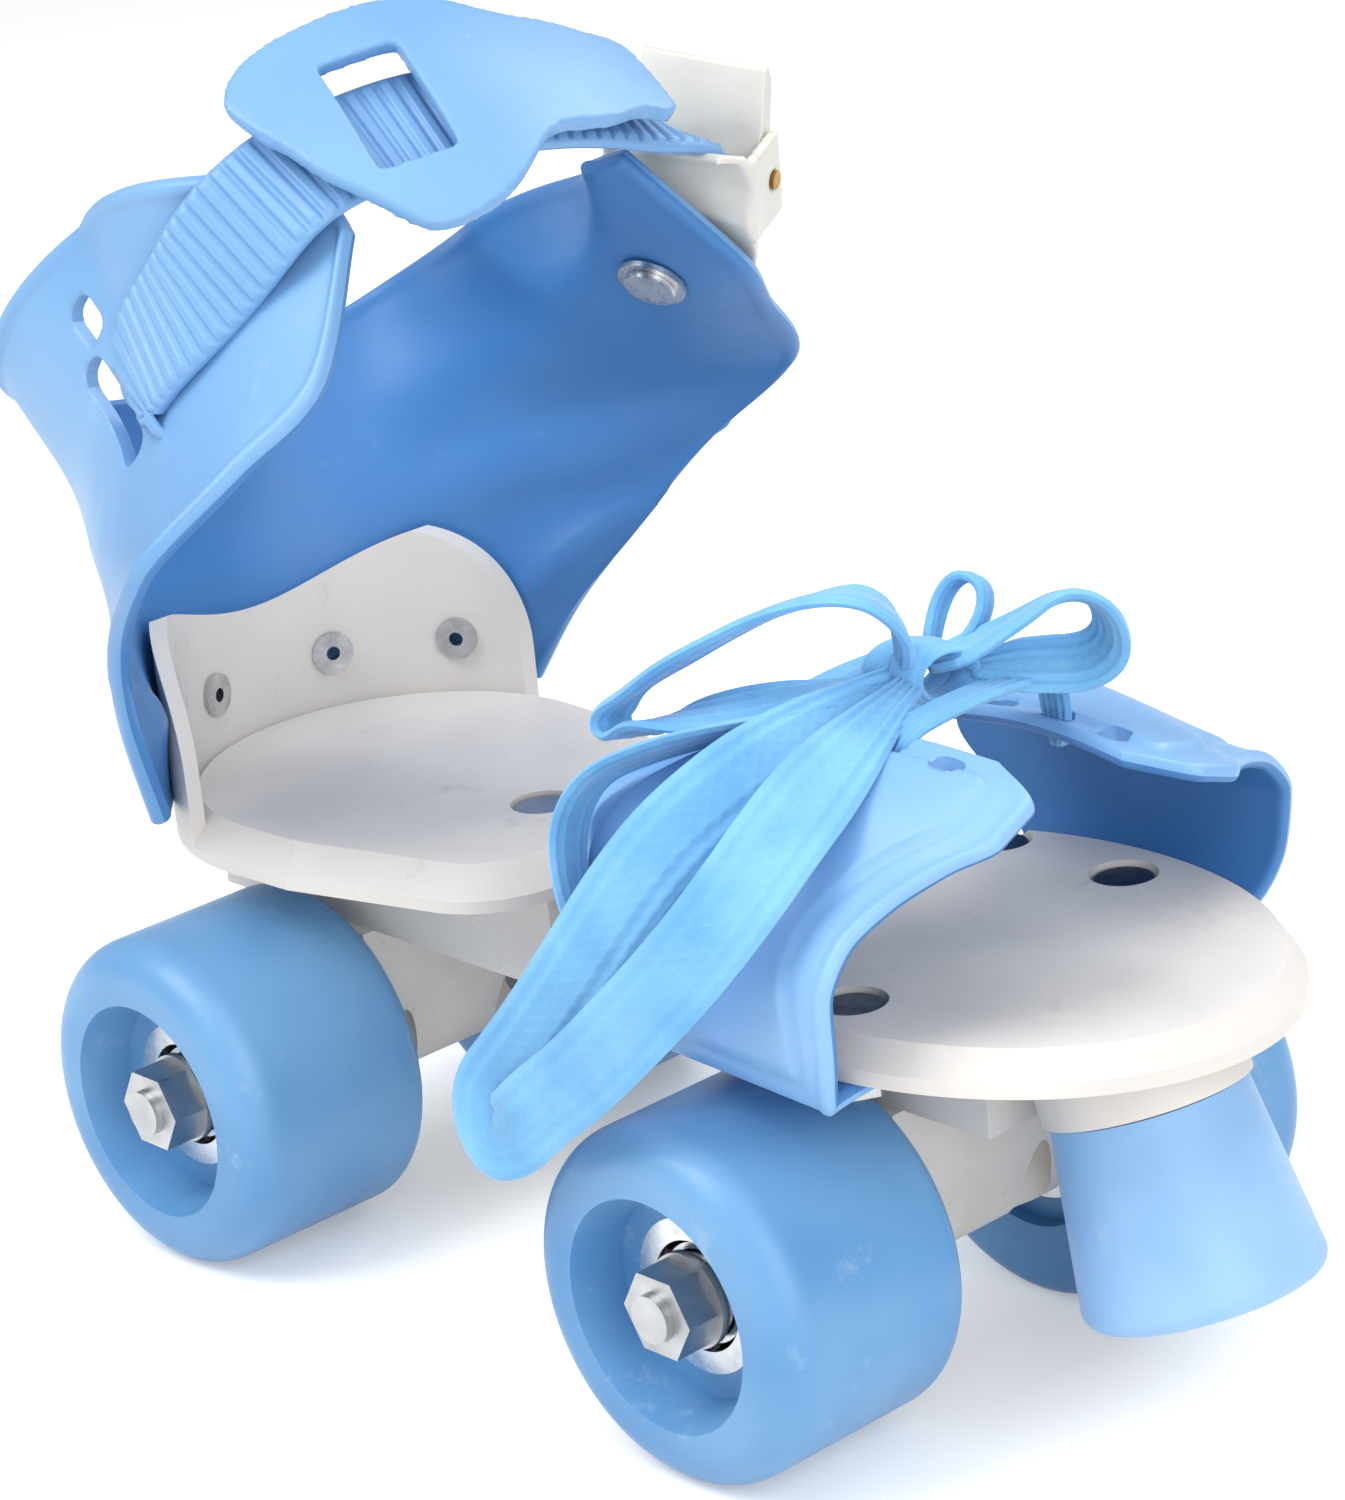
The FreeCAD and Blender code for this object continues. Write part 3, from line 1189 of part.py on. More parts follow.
LACES = {
    "lace_long_loop": [
        (137, -6, 41), (138, -18, 40.5), (137, -32, 39), (134, -45, 33), (127, -54.5, 22), (114, -58, 8),
        (102, -60, -9), (94.5, -60.5, -20), (96, -61, -28), (103.5, -61, -27), (113, -60.5, -13),
        (129, -59.5, 7), (143, -57, 22), (151, -47, 34), (150, -31, 41), (145, -17, 42.5), (140, -6, 42)],
    "lace_left_loop": [
        (135, -3, 44), (136, -5, 50), (133, -9, 56), (124, -16, 58.5), (114, -23, 54), (106, -28, 47),
        (104, -30.5, 42), (110, -30, 41), (119, -24, 42.6), (127, -14, 44), (133, -5, 43)],
    "lace_right_loop": [
        (141, 2, 44), (148, 3, 49), (156, 5, 55), (163, 8, 57), (168, 12, 53), (168.5, 15, 46),
        (163, 16, 42.6), (154, 12, 44.4), (145, 6, 43.5)],
    "lace_small_loop": [
        (135, 4.5, 43.5), (134, 8, 49), (137, 11.5, 54), (142.5, 13, 52.5), (143.5, 10.5, 47), (139.5, 5, 44)],
}


def cord_path(label, points):
    """Straight runs joined by arcs that touch them, as large as the runs allow."""
    points = [vector(*point) for point in points]
    edges, radii, start = [], [], points[0]
    for before, corner, after in zip(points, points[1:], points[2:]):
        inward, outward = (corner - before), (after - corner)
        half_turn = inward.getAngle(outward) / 2
        reach = 0.45 * min(inward.Length, outward.Length)
        radius = reach / math.tan(half_turn)
        radii.append(radius)
        first = corner - inward.normalize() * reach
        last = corner + outward.normalize() * reach
        bisector = ((first + last) * 0.5 - corner).normalize()
        centre_gap = radius / math.cos(half_turn) - radius
        edges.append(Part.LineSegment(start, first).toShape())
        edges.append(Part.Arc(first, corner + bisector * centre_gap, last).toShape())
        start = last
    edges.append(Part.LineSegment(start, points[-1]).toShape())
    print(label, "arc radii", [round(radius, 1) for radius in radii])
    return Part.Wire(edges)


def cord(label, points, radius):
    """A round tube along the path of a cord."""
    path = cord_path(label, points)
    along = vector(*points[1]) - vector(*points[0])
    ring = Part.Wire([Part.makeCircle(radius, vector(*points[0]), along)])
    solid = path.makePipeShell([ring], True, False)
    expected = math.pi * radius ** 2 * path.Length
    print(label, "length", round(path.Length, 1), "volume", round(solid.Volume, 1), "of", round(expected, 1))
    return solid


def lace():
    """Bow loops, the knot and the crossings between the lace holes."""
    radius = size("lace_width").value / 2
    for label, points in LACES.items():
        keep(formed(label, cord(label, points, radius)))
    knot = bind(doc.addObject("Part::Ellipsoid", "lace_knot"), Radius1=size("knot_height") / 2,
                Radius2=size("knot_length") / 2, Radius3=size("knot_width") / 2)
    knot.Placement = FreeCAD.Placement(vector(138.5, 0, 42), FreeCAD.Rotation())
    keep(knot)
    bars = []
    holes = size("lace_hole_y").value
    for i, x in enumerate((124.8, 148.8)):
        points = [(x, -holes, 33), (x, -holes, 38.6), (x + 0.6, -6, 39.4), (x + 0.2, 6, 39.2),
                  (x, holes - 1, 38.6), (x, holes, 31), (x, holes, 26)]
        bars.append(cord(f"lace_crossing_{i}", points, radius))
    keep(formed("lace_crossings", Part.makeCompound(bars)))


heel_cup()
ladder_strap()
strap_pad()
buckle()
for side in SIDES:
    wing(side)
lace()


def check_and_write():
    """Stops on any failed object, then writes each sub-part to its own file."""
    doc.recompute()
    for thing in doc.Objects:
        if any(word in thing.State for word in ("Invalid", "Error")):
            raise ValueError(f"{thing.Label} failed: {thing.State}")
    os.makedirs("parts", exist_ok=True)
    for thing in NODES:
        shape = thing.Shape
        if shape.isNull() or not shape.isValid():
            raise ValueError(f"{thing.Label} has a faulty shape")
        shape.exportStep(f"parts/{thing.Label}.step")
        print(thing.Label, len(shape.Solids), round(shape.Volume, 1))


check_and_write()
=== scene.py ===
"""Clip-on roller skate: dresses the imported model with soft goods, lace, finishes, light and camera.

Everything is in metres in the model's own frame: +X to the toe, +Y to the wearer's left, +Z up,
with the origin on the heel bed over the rear axle. Tables below are written in millimetres.
"""

import json
import logging
import math
from dataclasses import dataclass, field
from enum import Enum

import bmesh
import bpy
import numpy as np
from mathutils import Matrix, Vector

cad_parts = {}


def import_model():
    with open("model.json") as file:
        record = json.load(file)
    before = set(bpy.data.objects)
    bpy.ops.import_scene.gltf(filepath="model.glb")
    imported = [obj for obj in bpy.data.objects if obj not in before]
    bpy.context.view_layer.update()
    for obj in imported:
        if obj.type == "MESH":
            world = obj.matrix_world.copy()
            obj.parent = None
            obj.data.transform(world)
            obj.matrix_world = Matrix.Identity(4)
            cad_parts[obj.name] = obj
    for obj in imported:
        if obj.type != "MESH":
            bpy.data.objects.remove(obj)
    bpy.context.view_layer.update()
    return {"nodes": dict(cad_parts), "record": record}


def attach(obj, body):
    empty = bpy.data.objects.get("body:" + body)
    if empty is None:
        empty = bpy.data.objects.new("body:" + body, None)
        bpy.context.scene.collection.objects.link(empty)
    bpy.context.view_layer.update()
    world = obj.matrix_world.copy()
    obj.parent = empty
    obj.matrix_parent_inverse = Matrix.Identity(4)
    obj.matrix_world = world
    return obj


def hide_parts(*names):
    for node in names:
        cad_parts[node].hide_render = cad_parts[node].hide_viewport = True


log = logging.getLogger("roller_skate")
MM = 0.001
FLOOR_Z, FLOOR_HALF = -77.0 * MM, 6.0


# Colours and materials


def linear(code: str) -> tuple[float, float, float, float]:
    """Turns an sRGB hex colour into the linear colour that a shader socket takes."""
    parts = [int(code[i:i + 2], 16) / 255 for i in (1, 3, 5)]
    return tuple(((c + 0.055) / 1.055) ** 2.4 if c > 0.04045 else c / 12.92 for c in parts) + (1.0,)


class Making(Enum):
    """How a surface was made, which sets the kind of texture it has."""

    MOULDED = "moulded"
    SOFT = "soft"
    METAL = "metal"
    WOVEN = "woven"


@dataclass(frozen=True)
class Finish:
    """One surface finish. Sizes are in millimetres.

    Attributes:
        name: The material's name, after what it is made of and how.
        making: How the surface was made.
        base: Main colour, sRGB hex.
        shade: Colour that it drifts to in patches.
        worn: Colour of scuffs and dust.
        rough: Roughness of the clean surface.
        patch: Size of the drifting patches.
        grain: Size of the fine surface grain.
        relief: Height of the grain.
        scuffs: Share of the surface that scuffs cover, 0 to 1.
    """

    name: str
    making: Making
    base: str
    shade: str
    worn: str
    rough: float
    patch: float = 18.0
    grain: float = 0.8
    relief: float = 0.02
    scuffs: float = 0.25


FINISHES = {
    "wheel_plastic": Finish("wheel_moulded_plastic", Making.MOULDED, "#6fa3d0", "#528cc1", "#aac4dc",
                            0.36, 22, 0.9, 0.03, 0.42),
    "housing_plastic": Finish("housing_moulded_plastic", Making.MOULDED, "#efe8df", "#ddd6cd", "#a09a93",
                              0.5, 14, 0.7, 0.03, 0.4),
    "plate_plastic": Finish("plate_moulded_plastic", Making.MOULDED, "#e3dfd9", "#d2cec9", "#a5a09b",
                            0.48, 26, 0.6, 0.03, 0.38),
    "zinc_steel": Finish("zinc_plated_steel", Making.METAL, "#c2c3c4", "#a7a9ab", "#77736c",
                         0.32, 5, 0.4, 0.01, 0.3),
    "bearing_steel": Finish("pressed_bearing_steel", Making.METAL, "#dcdee0", "#c2c5c8", "#8a8782",
                            0.22, 6, 0.3, 0.008, 0.35),
    "rivet_steel": Finish("plated_rivet_steel", Making.METAL, "#d6d7d8", "#b9babb", "#7d7972",
                          0.24, 3, 0.3, 0.008, 0.2),
    "stop_plastic": Finish("stop_moulded_rubber", Making.MOULDED, "#98c0e8", "#86b2de", "#bccfe0",
                           0.45, 16, 0.7, 0.03, 0.3),
    "brass_insert": Finish("turned_brass", Making.METAL, "#b5924f", "#8f7038", "#5e4a26",
                           0.35, 3, 0.3, 0.008, 0.3),
    "dark_screw": Finish("blued_screw_steel", Making.METAL, "#5b6876", "#444f5c", "#2f3236",
                         0.42, 3, 0.4, 0.015, 0.3),
    "cup_vinyl": Finish("cup_moulded_vinyl", Making.SOFT, "#7cacd9", "#6c9dce", "#a8c6e2",
                        0.38, 30, 1.3, 0.05, 0.22),
    # Painted shade: a darker copy of the cup's vinyl for the inner faces of the heel cup and the toe wings,
    # standing in for the shade inside them.
    "cup_inside_painted_shade": Finish("cup_inner_vinyl_painted_shade", Making.SOFT, "#4884c1", "#3b75b2", "#70a0cf",
                         0.44, 26, 1.3, 0.05, 0.2),
    "strap_vinyl": Finish("strap_moulded_vinyl", Making.SOFT, "#86b6e4", "#76a8da", "#b0cde8",
                          0.36, 24, 1.1, 0.04, 0.2),
    "buckle_plastic": Finish("buckle_moulded_plastic", Making.MOULDED, "#dedcd4", "#cfccc3", "#aaa59b",
                             0.34, 12, 0.7, 0.02, 0.3),
    "lace_fabric": Finish("lace_woven_polyester", Making.WOVEN, "#7cbbe6", "#66a8d9", "#a8d4f0",
                          0.78, 9, 0.45, 0.12, 0.2),
    "ball_steel": Finish("polished_ball_steel", Making.METAL, "#9c9c9a", "#7c7b78", "#4a4742",
                         0.25, 2, 0.3, 0.005, 0.4),
}


@dataclass
class MaterialBook:
    """Makes each finish's material once and hands it out."""

    made: dict[str, bpy.types.Material] = field(default_factory=dict)

    def get(self, key: str) -> bpy.types.Material:
        """Returns the material of a finish, made at its first use."""
        if key not in self.made:
            self.made[key] = build_material(FINISHES[key])
        return self.made[key]


def add_node(tree: bpy.types.NodeTree, kind: str, **values) -> bpy.types.Node:
    """Adds a node and sets its properties and input sockets.

    Args:
        tree: The material's node tree.
        kind: Blender's type name of the node.
        values: Properties by name, or inputs by their socket name with spaces as underscores.
    Returns:
        The new node.
    """
    node = tree.nodes.new(kind)
    for name, value in values.items():
        socket = name.replace("_", " ")
        if hasattr(node, name):
            setattr(node, name, value)
        elif isinstance(value, bpy.types.NodeSocket):
            tree.links.new(value, node.inputs[socket])
        else:
            node.inputs[socket].default_value = value
    return node


def noise(tree: bpy.types.NodeTree, where, size_mm: float, detail: float = 3.0, rough: float = 0.55):
    """Noise whose features are about size_mm wide; returns its value socket."""
    made = add_node(tree, "ShaderNodeTexNoise", Vector=where, Scale=1 / (size_mm * MM * 2), Detail=detail,
                    Roughness=rough)
    return made.outputs["Fac"]


def ramp(tree: bpy.types.NodeTree, value, low: float, high: float, out_low: float = 0.0,
         out_high: float = 1.0):
    """Maps low..high of a value to out_low..out_high, clamped; returns the socket."""
    made = add_node(tree, "ShaderNodeMapRange", Value=value, From_Min=low, From_Max=high, To_Min=out_low,
                    To_Max=out_high)
    return made.outputs["Result"]


def blend_colours(tree: bpy.types.NodeTree, share, first, second):
    """Mixes two colours by a share; first or second may be a socket. Returns the colour socket."""
    node = tree.nodes.new("ShaderNodeMix")
    node.data_type = "RGBA"
    tree.links.new(share, node.inputs[0])
    for index, colour in ((6, first), (7, second)):
        if isinstance(colour, bpy.types.NodeSocket):
            tree.links.new(colour, node.inputs[index])
        else:
            node.inputs[index].default_value = colour
    return node.outputs[2]


def build_material(finish: Finish) -> bpy.types.Material:
    """Builds one finish: drifting colour, scuffs and dust in patches, fine grain and relief."""
    made = bpy.data.materials.new(finish.name)
    made.use_nodes = True
    tree = made.node_tree
    tree.nodes.clear()
    output = tree.nodes.new("ShaderNodeOutputMaterial")
    shader = add_node(tree, "ShaderNodeBsdfPrincipled")
    tree.links.new(shader.outputs[0], output.inputs[0])
    coords = tree.nodes.new("ShaderNodeTexCoord").outputs["Object"]
    drift = noise(tree, coords, finish.patch, 2.0)
    fine = noise(tree, coords, finish.grain, 4.0, 0.65)
    marks = noise(tree, coords, finish.patch * 0.32, 6.0, 0.72)
    colour = blend_colours(tree, ramp(tree, drift, 0.35, 0.65), linear(finish.base), linear(finish.shade))
    edge = 0.66 - 0.16 * finish.scuffs
    wear = ramp(tree, marks, edge, edge + 0.16, 0.0, 0.55)
    colour = blend_colours(tree, wear, colour, linear(finish.worn))
    tree.links.new(colour, shader.inputs["Base Color"])
    spread = {Making.METAL: 0.16, Making.WOVEN: 0.1}.get(finish.making, 0.12)
    rough = ramp(tree, marks, 0.3, 0.75, finish.rough - spread * 0.4, finish.rough + spread)
    tree.links.new(rough, shader.inputs["Roughness"])
    height = fine
    if finish.making is Making.METAL:
        shader.inputs["Metallic"].default_value = 1.0
    elif finish.making is Making.WOVEN:
        height = weave(tree, fine)
        shader.inputs["Sheen Weight"].default_value = 0.35
        shader.inputs["Sheen Roughness"].default_value = 0.45
    elif finish.making is Making.SOFT:
        shader.inputs["Subsurface Weight"].default_value = 0.12
        shader.inputs["Subsurface Scale"].default_value = 0.004
        shader.inputs["Specular IOR Level"].default_value = 0.5
    else:
        shader.inputs["Subsurface Weight"].default_value = 0.05
        shader.inputs["Subsurface Scale"].default_value = 0.003
    bump = add_node(tree, "ShaderNodeBump", Height=height, Strength=0.6, Distance=finish.relief * MM)
    if finish.making is Making.SOFT:
        waves = noise(tree, coords, finish.patch * 0.5, 1.0)
        soft = add_node(tree, "ShaderNodeBump", Height=waves, Strength=0.5, Distance=0.5 * MM,
                        Normal=bump.outputs[0])
        bump = soft
    tree.links.new(bump.outputs[0], shader.inputs["Normal"])
    return made


def weave(tree: bpy.types.NodeTree, fine):
    """Height of a flat braid: slanting threads crossing along the UV map, which is in millimetres."""
    places = tree.nodes.new("ShaderNodeUVMap").outputs["UV"]
    heights = []
    for turn in (0.9, -0.9):
        turned = add_node(tree, "ShaderNodeMapping", Vector=places, Rotation=(0.0, 0.0, turn))
        wave = add_node(tree, "ShaderNodeTexWave", Vector=turned.outputs[0], Scale=0.16, Distortion=0.4)
        heights.append(wave.outputs["Fac"])
    crossed = add_node(tree, "ShaderNodeMath", operation="MAXIMUM")
    tree.links.new(heights[0], crossed.inputs[0])
    tree.links.new(heights[1], crossed.inputs[1])
    fuzzy = add_node(tree, "ShaderNodeMath", operation="MULTIPLY_ADD")
    tree.links.new(fine, fuzzy.inputs[0])
    fuzzy.inputs[1].default_value = 0.35
    tree.links.new(crossed.outputs[0], fuzzy.inputs[2])
    return fuzzy.outputs[0]


# Mesh helpers


def new_object(name: str, points: np.ndarray, faces: list, uvs: np.ndarray | None = None,
               smooth: bool = True) -> bpy.types.Object:
    """Makes a mesh object at the origin.

    Args:
        name: Name of the object.
        points: Vertices, metres, one row each.
        faces: Vertex indices of each face.
        uvs: Place of each vertex on the UV map, in millimetres.
        smooth: Whether the faces are shaded smooth.
    Returns:
        The object, linked to the scene.
    """
    mesh = bpy.data.meshes.new(name)
    mesh.from_pydata([tuple(p) for p in points], [], faces)
    if uvs is not None:
        layer = mesh.uv_layers.new(name="UVMap")
        corners = np.zeros(len(mesh.loops), dtype=np.int32)
        mesh.loops.foreach_get("vertex_index", corners)
        layer.data.foreach_set("uv", uvs[corners].astype(np.float32).ravel())
    mesh.polygons.foreach_set("use_smooth", [smooth] * len(mesh.polygons))
    mesh.validate()
    mesh.update()
    made = bpy.data.objects.new(name, mesh)
    bpy.context.scene.collection.objects.link(made)
    return made


def grid_faces(rows: int, columns: int, start: int = 0, flip: bool = False) -> list:
    """Faces of a grid of rows by columns vertices."""
    faces = []
    for i in range(rows - 1):
        for k in range(columns - 1):
            a = start + i * columns + k
            face = (a, a + 1, a + columns + 1, a + columns)
            faces.append(face[::-1] if flip else face)
    return faces


def tube_faces(rows: int, ring: int) -> list:
    """Faces of a closed tube: rows of rings joined one to the next, with both ends capped."""
    faces = []
    for i in range(rows - 1):
        for k in range(ring):
            a, b, after = i * ring, (i + 1) * ring, (k + 1) % ring
            faces.append((a + k, a + after, b + after, b + k))
    return faces + [tuple(range(ring))[::-1], tuple((rows - 1) * ring + k for k in range(ring))]


def eased(stations: list, where: np.ndarray) -> np.ndarray:
    """Values of a smooth curve through (place, value) stations that never overshoots them.

    Between two stations the curve is the cubic whose end slopes are the harmonic means of the
    slopes of the straight runs on both sides, and level where those runs turn back.
    """
    places = np.array([s[0] for s in stations], float)
    values = np.array([s[1] for s in stations], float)
    widths = np.diff(places)
    slopes = np.diff(values) / widths
    before, after = slopes[:-1], slopes[1:]
    same = before * after > 0
    inner = np.where(same, 2 * before * after / np.where(same, before + after, 1.0), 0.0)
    tangents = np.concatenate([slopes[:1], inner, slopes[-1:]])
    i = np.clip(np.searchsorted(places, where, side="right") - 1, 0, len(slopes) - 1)
    share = (where - places[i]) / widths[i]
    rest = 1 - share
    return (values[i] * (1 + 2 * share) * rest ** 2 + values[i + 1] * (3 - 2 * share) * share ** 2
            + tangents[i] * widths[i] * share * rest ** 2 - tangents[i + 1] * widths[i] * share ** 2 * rest)


def step_up(value: np.ndarray, low: float, high: float) -> np.ndarray:
    """Rises smoothly from 0 at low to 1 at high."""
    share = np.clip((value - low) / (high - low), 0.0, 1.0)
    return share * share * (3 - 2 * share)


def shares(length_mm: float, step_mm: float, low: float = 0.0, high: float = 1.0) -> np.ndarray:
    """Places along a side, even inside and closer together towards both ends."""
    near = np.array([0.0, 0.12, 0.35, 0.7, 1.15, 1.7, 2.4, 3.2, 4.2])
    inner = np.linspace(5.6, length_mm - 5.6, max(int(length_mm / step_mm), 4))
    return low + (high - low) * np.concatenate([near, inner, length_mm - near[::-1]]) / length_mm


@dataclass
class Shell:
    """A moulded sheet: a grid of points on its outer face, given a wall with rounded, beaded rims.

    Attributes:
        name: Name of the piece.
        points: Outer face, rows by columns by 3, in millimetres.
        wall: Thickness inwards, in millimetres.
        bead: How far the rim stands proud on the outside.
        bead_width: Width of the raised rim.
        relief: Extra height of the outer face at each point.
        inner_face: Index of the material on the inside.
    """

    name: str
    points: np.ndarray
    wall: float
    bead: float = 0.0
    bead_width: float = 3.0
    relief: np.ndarray | None = None
    inner_face: int = 1

    def normals(self) -> np.ndarray:
        """Unit normals of the grid, from its neighbours."""
        rows = np.gradient(self.points, axis=0)
        columns = np.gradient(self.points, axis=1)
        made = np.cross(rows, columns)
        return made / np.maximum(np.linalg.norm(made, axis=2, keepdims=True), 1e-9)

    def to_border(self) -> np.ndarray:
        """Distance of each point to the nearest border, along its row or its column."""
        distances = []
        for axis in (0, 1):
            steps = np.linalg.norm(np.diff(self.points, axis=axis), axis=2)
            zero = np.zeros_like(np.take(steps, [0], axis=axis))
            run = np.concatenate([zero, np.cumsum(steps, axis=axis)], axis=axis)
            distances += [run, np.take(run, [-1], axis=axis) - run]
        return np.minimum.reduce(distances)

    def build(self) -> bpy.types.Object:
        """Makes the closed mesh, its UV map in millimetres along the rows and columns."""
        normals, border = self.normals(), self.to_border()
        half = self.wall / 2
        inside_edge = np.clip(border / half, 0.0, 1.0)
        rounding = np.sqrt(np.clip(1 - (1 - inside_edge) ** 2, 0.0, 1.0))
        ridge = self.bead * (1 - step_up(border, self.bead_width * 0.6, self.bead_width))
        outer_lift = (half + ridge) * rounding - half
        if self.relief is not None:
            outer_lift = outer_lift + self.relief * step_up(border, 0.5, 2.0)
        inner_lift = -half - (half + ridge * 0.35) * rounding
        outer = self.points + normals * outer_lift[..., None]
        inner = self.points + normals * inner_lift[..., None]
        rows, columns = self.points.shape[:2]
        count = rows * columns
        vertices = np.concatenate([outer.reshape(-1, 3), inner.reshape(-1, 3)]) * MM
        faces = grid_faces(rows, columns) + grid_faces(rows, columns, count, flip=True)
        sides = []
        ring = ([k for k in range(columns)] + [i * columns + columns - 1 for i in range(1, rows)]
                + [(rows - 1) * columns + k for k in range(columns - 2, -1, -1)]
                + [i * columns for i in range(rows - 2, 0, -1)])
        for a, b in zip(ring, ring[1:] + ring[:1]):
            sides.append((b, a, a + count, b + count))
        run_u = np.linalg.norm(np.diff(self.points, axis=1, prepend=self.points[:, :1]), axis=2).cumsum(1)
        run_v = np.linalg.norm(np.diff(self.points, axis=0, prepend=self.points[:1]), axis=2).cumsum(0)
        flat = np.stack([run_u, run_v], -1).reshape(-1, 2)
        made = new_object(self.name, vertices, faces + sides, np.concatenate([flat, flat]))
        index = np.zeros(len(made.data.polygons), dtype=np.int32)
        index[len(faces) // 2:len(faces)] = self.inner_face
        made.data.polygons.foreach_set("material_index", index)
        tidy_normals(made)
        return made


def tidy_normals(thing: bpy.types.Object) -> None:
    """Turns all faces of a closed mesh outwards."""
    mesh = bmesh.new()
    mesh.from_mesh(thing.data)
    bmesh.ops.recalc_face_normals(mesh, faces=mesh.faces)
    mesh.to_mesh(thing.data)
    mesh.free()


def settle(thing: bpy.types.Object) -> bpy.types.Object:
    """Turns the object's modifiers into its mesh."""
    graph = bpy.context.evaluated_depsgraph_get()
    made = bpy.data.meshes.new_from_object(thing.evaluated_get(graph))
    thing.modifiers.clear()
    thing.data = made
    return thing


def carve(thing: bpy.types.Object, tools: list) -> bpy.types.Object:
    """Cuts tool objects out of a piece and removes the tools."""
    for tool in tools:
        modifier = thing.modifiers.new("cut", "BOOLEAN")
        modifier.operation = "DIFFERENCE"
        modifier.solver = "EXACT"
        modifier.object = tool
    settle(thing)
    for tool in tools:
        bpy.data.objects.remove(tool)
    return thing


def prism(name: str, outline: list, middle: Vector, way: Vector, reach: float) -> bpy.types.Object:
    """A prism through a sheet, for cutting: outline points are offsets in metres."""
    way = way.normalized()
    points = [middle + Vector(p) + way * s for s in (-reach, reach) for p in outline]
    n = len(outline)
    faces = [tuple(range(n))[::-1], tuple(range(n, 2 * n))]
    faces += [(i, (i + 1) % n, (i + 1) % n + n, i + n) for i in range(n)]
    made = new_object(name, np.array([tuple(p) for p in points]), faces, smooth=False)
    tidy_normals(made)
    return made


def softened_copy(node: bpy.types.Object, name: str, bevel_mm: float,
                  segments: int = 3) -> bpy.types.Object:
    """A copy of a solid's mesh with its edges rounded, for a piece that replaces it."""
    made = bpy.data.objects.new(name, node.data.copy())
    bpy.context.scene.collection.objects.link(made)
    mesh = bmesh.new()
    mesh.from_mesh(made.data)
    bmesh.ops.remove_doubles(mesh, verts=mesh.verts, dist=2e-6)
    bmesh.ops.dissolve_limit(mesh, angle_limit=math.radians(1.0), verts=mesh.verts, edges=mesh.edges)
    mesh.to_mesh(made.data)
    mesh.free()
    modifier = made.modifiers.new("round", "BEVEL")
    modifier.width = bevel_mm * MM
    modifier.segments = segments
    modifier.limit_method = "ANGLE"
    modifier.angle_limit = math.radians(32)
    modifier.harden_normals = True
    settle(made)
    made.data.polygons.foreach_set("use_smooth", [True] * len(made.data.polygons))
    return made


def pillowed_copy(node: bpy.types.Object, name: str, cell_mm: float, rounds: int) -> bpy.types.Object:
    """A copy of a soft solid's mesh in even small cells, rubbed smooth at its edges."""
    made = bpy.data.objects.new(name, node.data.copy())
    bpy.context.scene.collection.objects.link(made)
    remesh = made.modifiers.new("cells", "REMESH")
    remesh.mode = "VOXEL"
    remesh.voxel_size = cell_mm * MM
    rub = made.modifiers.new("rub", "SMOOTH")
    rub.factor, rub.iterations = 0.5, rounds
    settle(made)
    made.data.polygons.foreach_set("use_smooth", [True] * len(made.data.polygons))
    return made


def paint(thing: bpy.types.Object, book: MaterialBook, *keys: str) -> None:
    """Gives a piece its materials, in the order of its faces' material indices."""
    indices = np.zeros(len(thing.data.polygons), dtype=np.int32)
    thing.data.polygons.foreach_get("material_index", indices)
    thing.data.materials.clear()
    for key in keys:
        thing.data.materials.append(book.get(key))
    thing.data.polygons.foreach_set("material_index", np.minimum(indices, len(keys) - 1))


# Heel cup

# Each level: share of the height; x, y and z of the flap's front edge; x and z of the back; the
# handles at the back and the edge; the edge's heading in degrees; how z rises; the flap's crown.
CUP_LEVELS = [
    (0.00, -8.0, 45.0, -0.5, -39.5, -1.0, 21.0, 19.0, 20.0, 1.00, 0.0),
    (0.15, -3.0, 51.0, 12.0, -40.5, 6.0, 23.0, 22.0, 26.0, 1.00, 0.0),
    (0.30, 7.0, 60.0, 28.0, -41.5, 15.0, 25.0, 24.0, 32.0, 1.20, 0.0),
    (0.45, 21.0, 68.5, 46.0, -43.0, 25.0, 28.0, 28.0, 32.0, 1.40, 0.0),
    (0.60, 37.5, 74.0, 61.0, -45.0, 35.0, 38.0, 36.0, 26.0, 1.40, 3.0),
    (0.75, 48.0, 59.5, 76.5, -47.0, 44.0, 56.0, 42.0, 18.0, 1.35, 8.0),
    (0.88, 55.5, 47.0, 88.0, -49.0, 53.0, 76.0, 45.0, 18.0, 1.30, 16.0),
    (1.00, 47.0, 30.0, 109.0, -51.0, 61.0, 95.0, 45.0, 20.0, 1.30, 24.0),
]
CUP_WALL = 2.6
HEEL_CENTRE, HEEL_RADIUS, CUP_GAP = 6.0, 42.0, 0.25
COUNTER_SEAT = HEEL_RADIUS + CUP_WALL + CUP_GAP
CUT_REACH = 9 * MM
# Directions on the right flap, then its cuts: name, middle, half length and half width.
FLAP_OUT = Vector((0.16, -0.97, 0.17))
FLAP_ALONG, FLAP_ACROSS = Vector((0.58, 0.16, 0.8)), Vector((0.83, -0.28, -0.55))
FLAP_CUTS = [
    ("slit_tool", Vector((2.2, -50.0, 77.4)), (3.7, 11.2)),
    ("hole_tool", Vector((-6.8, -47.5, 91.4)), (3.2, 4.2)),
]


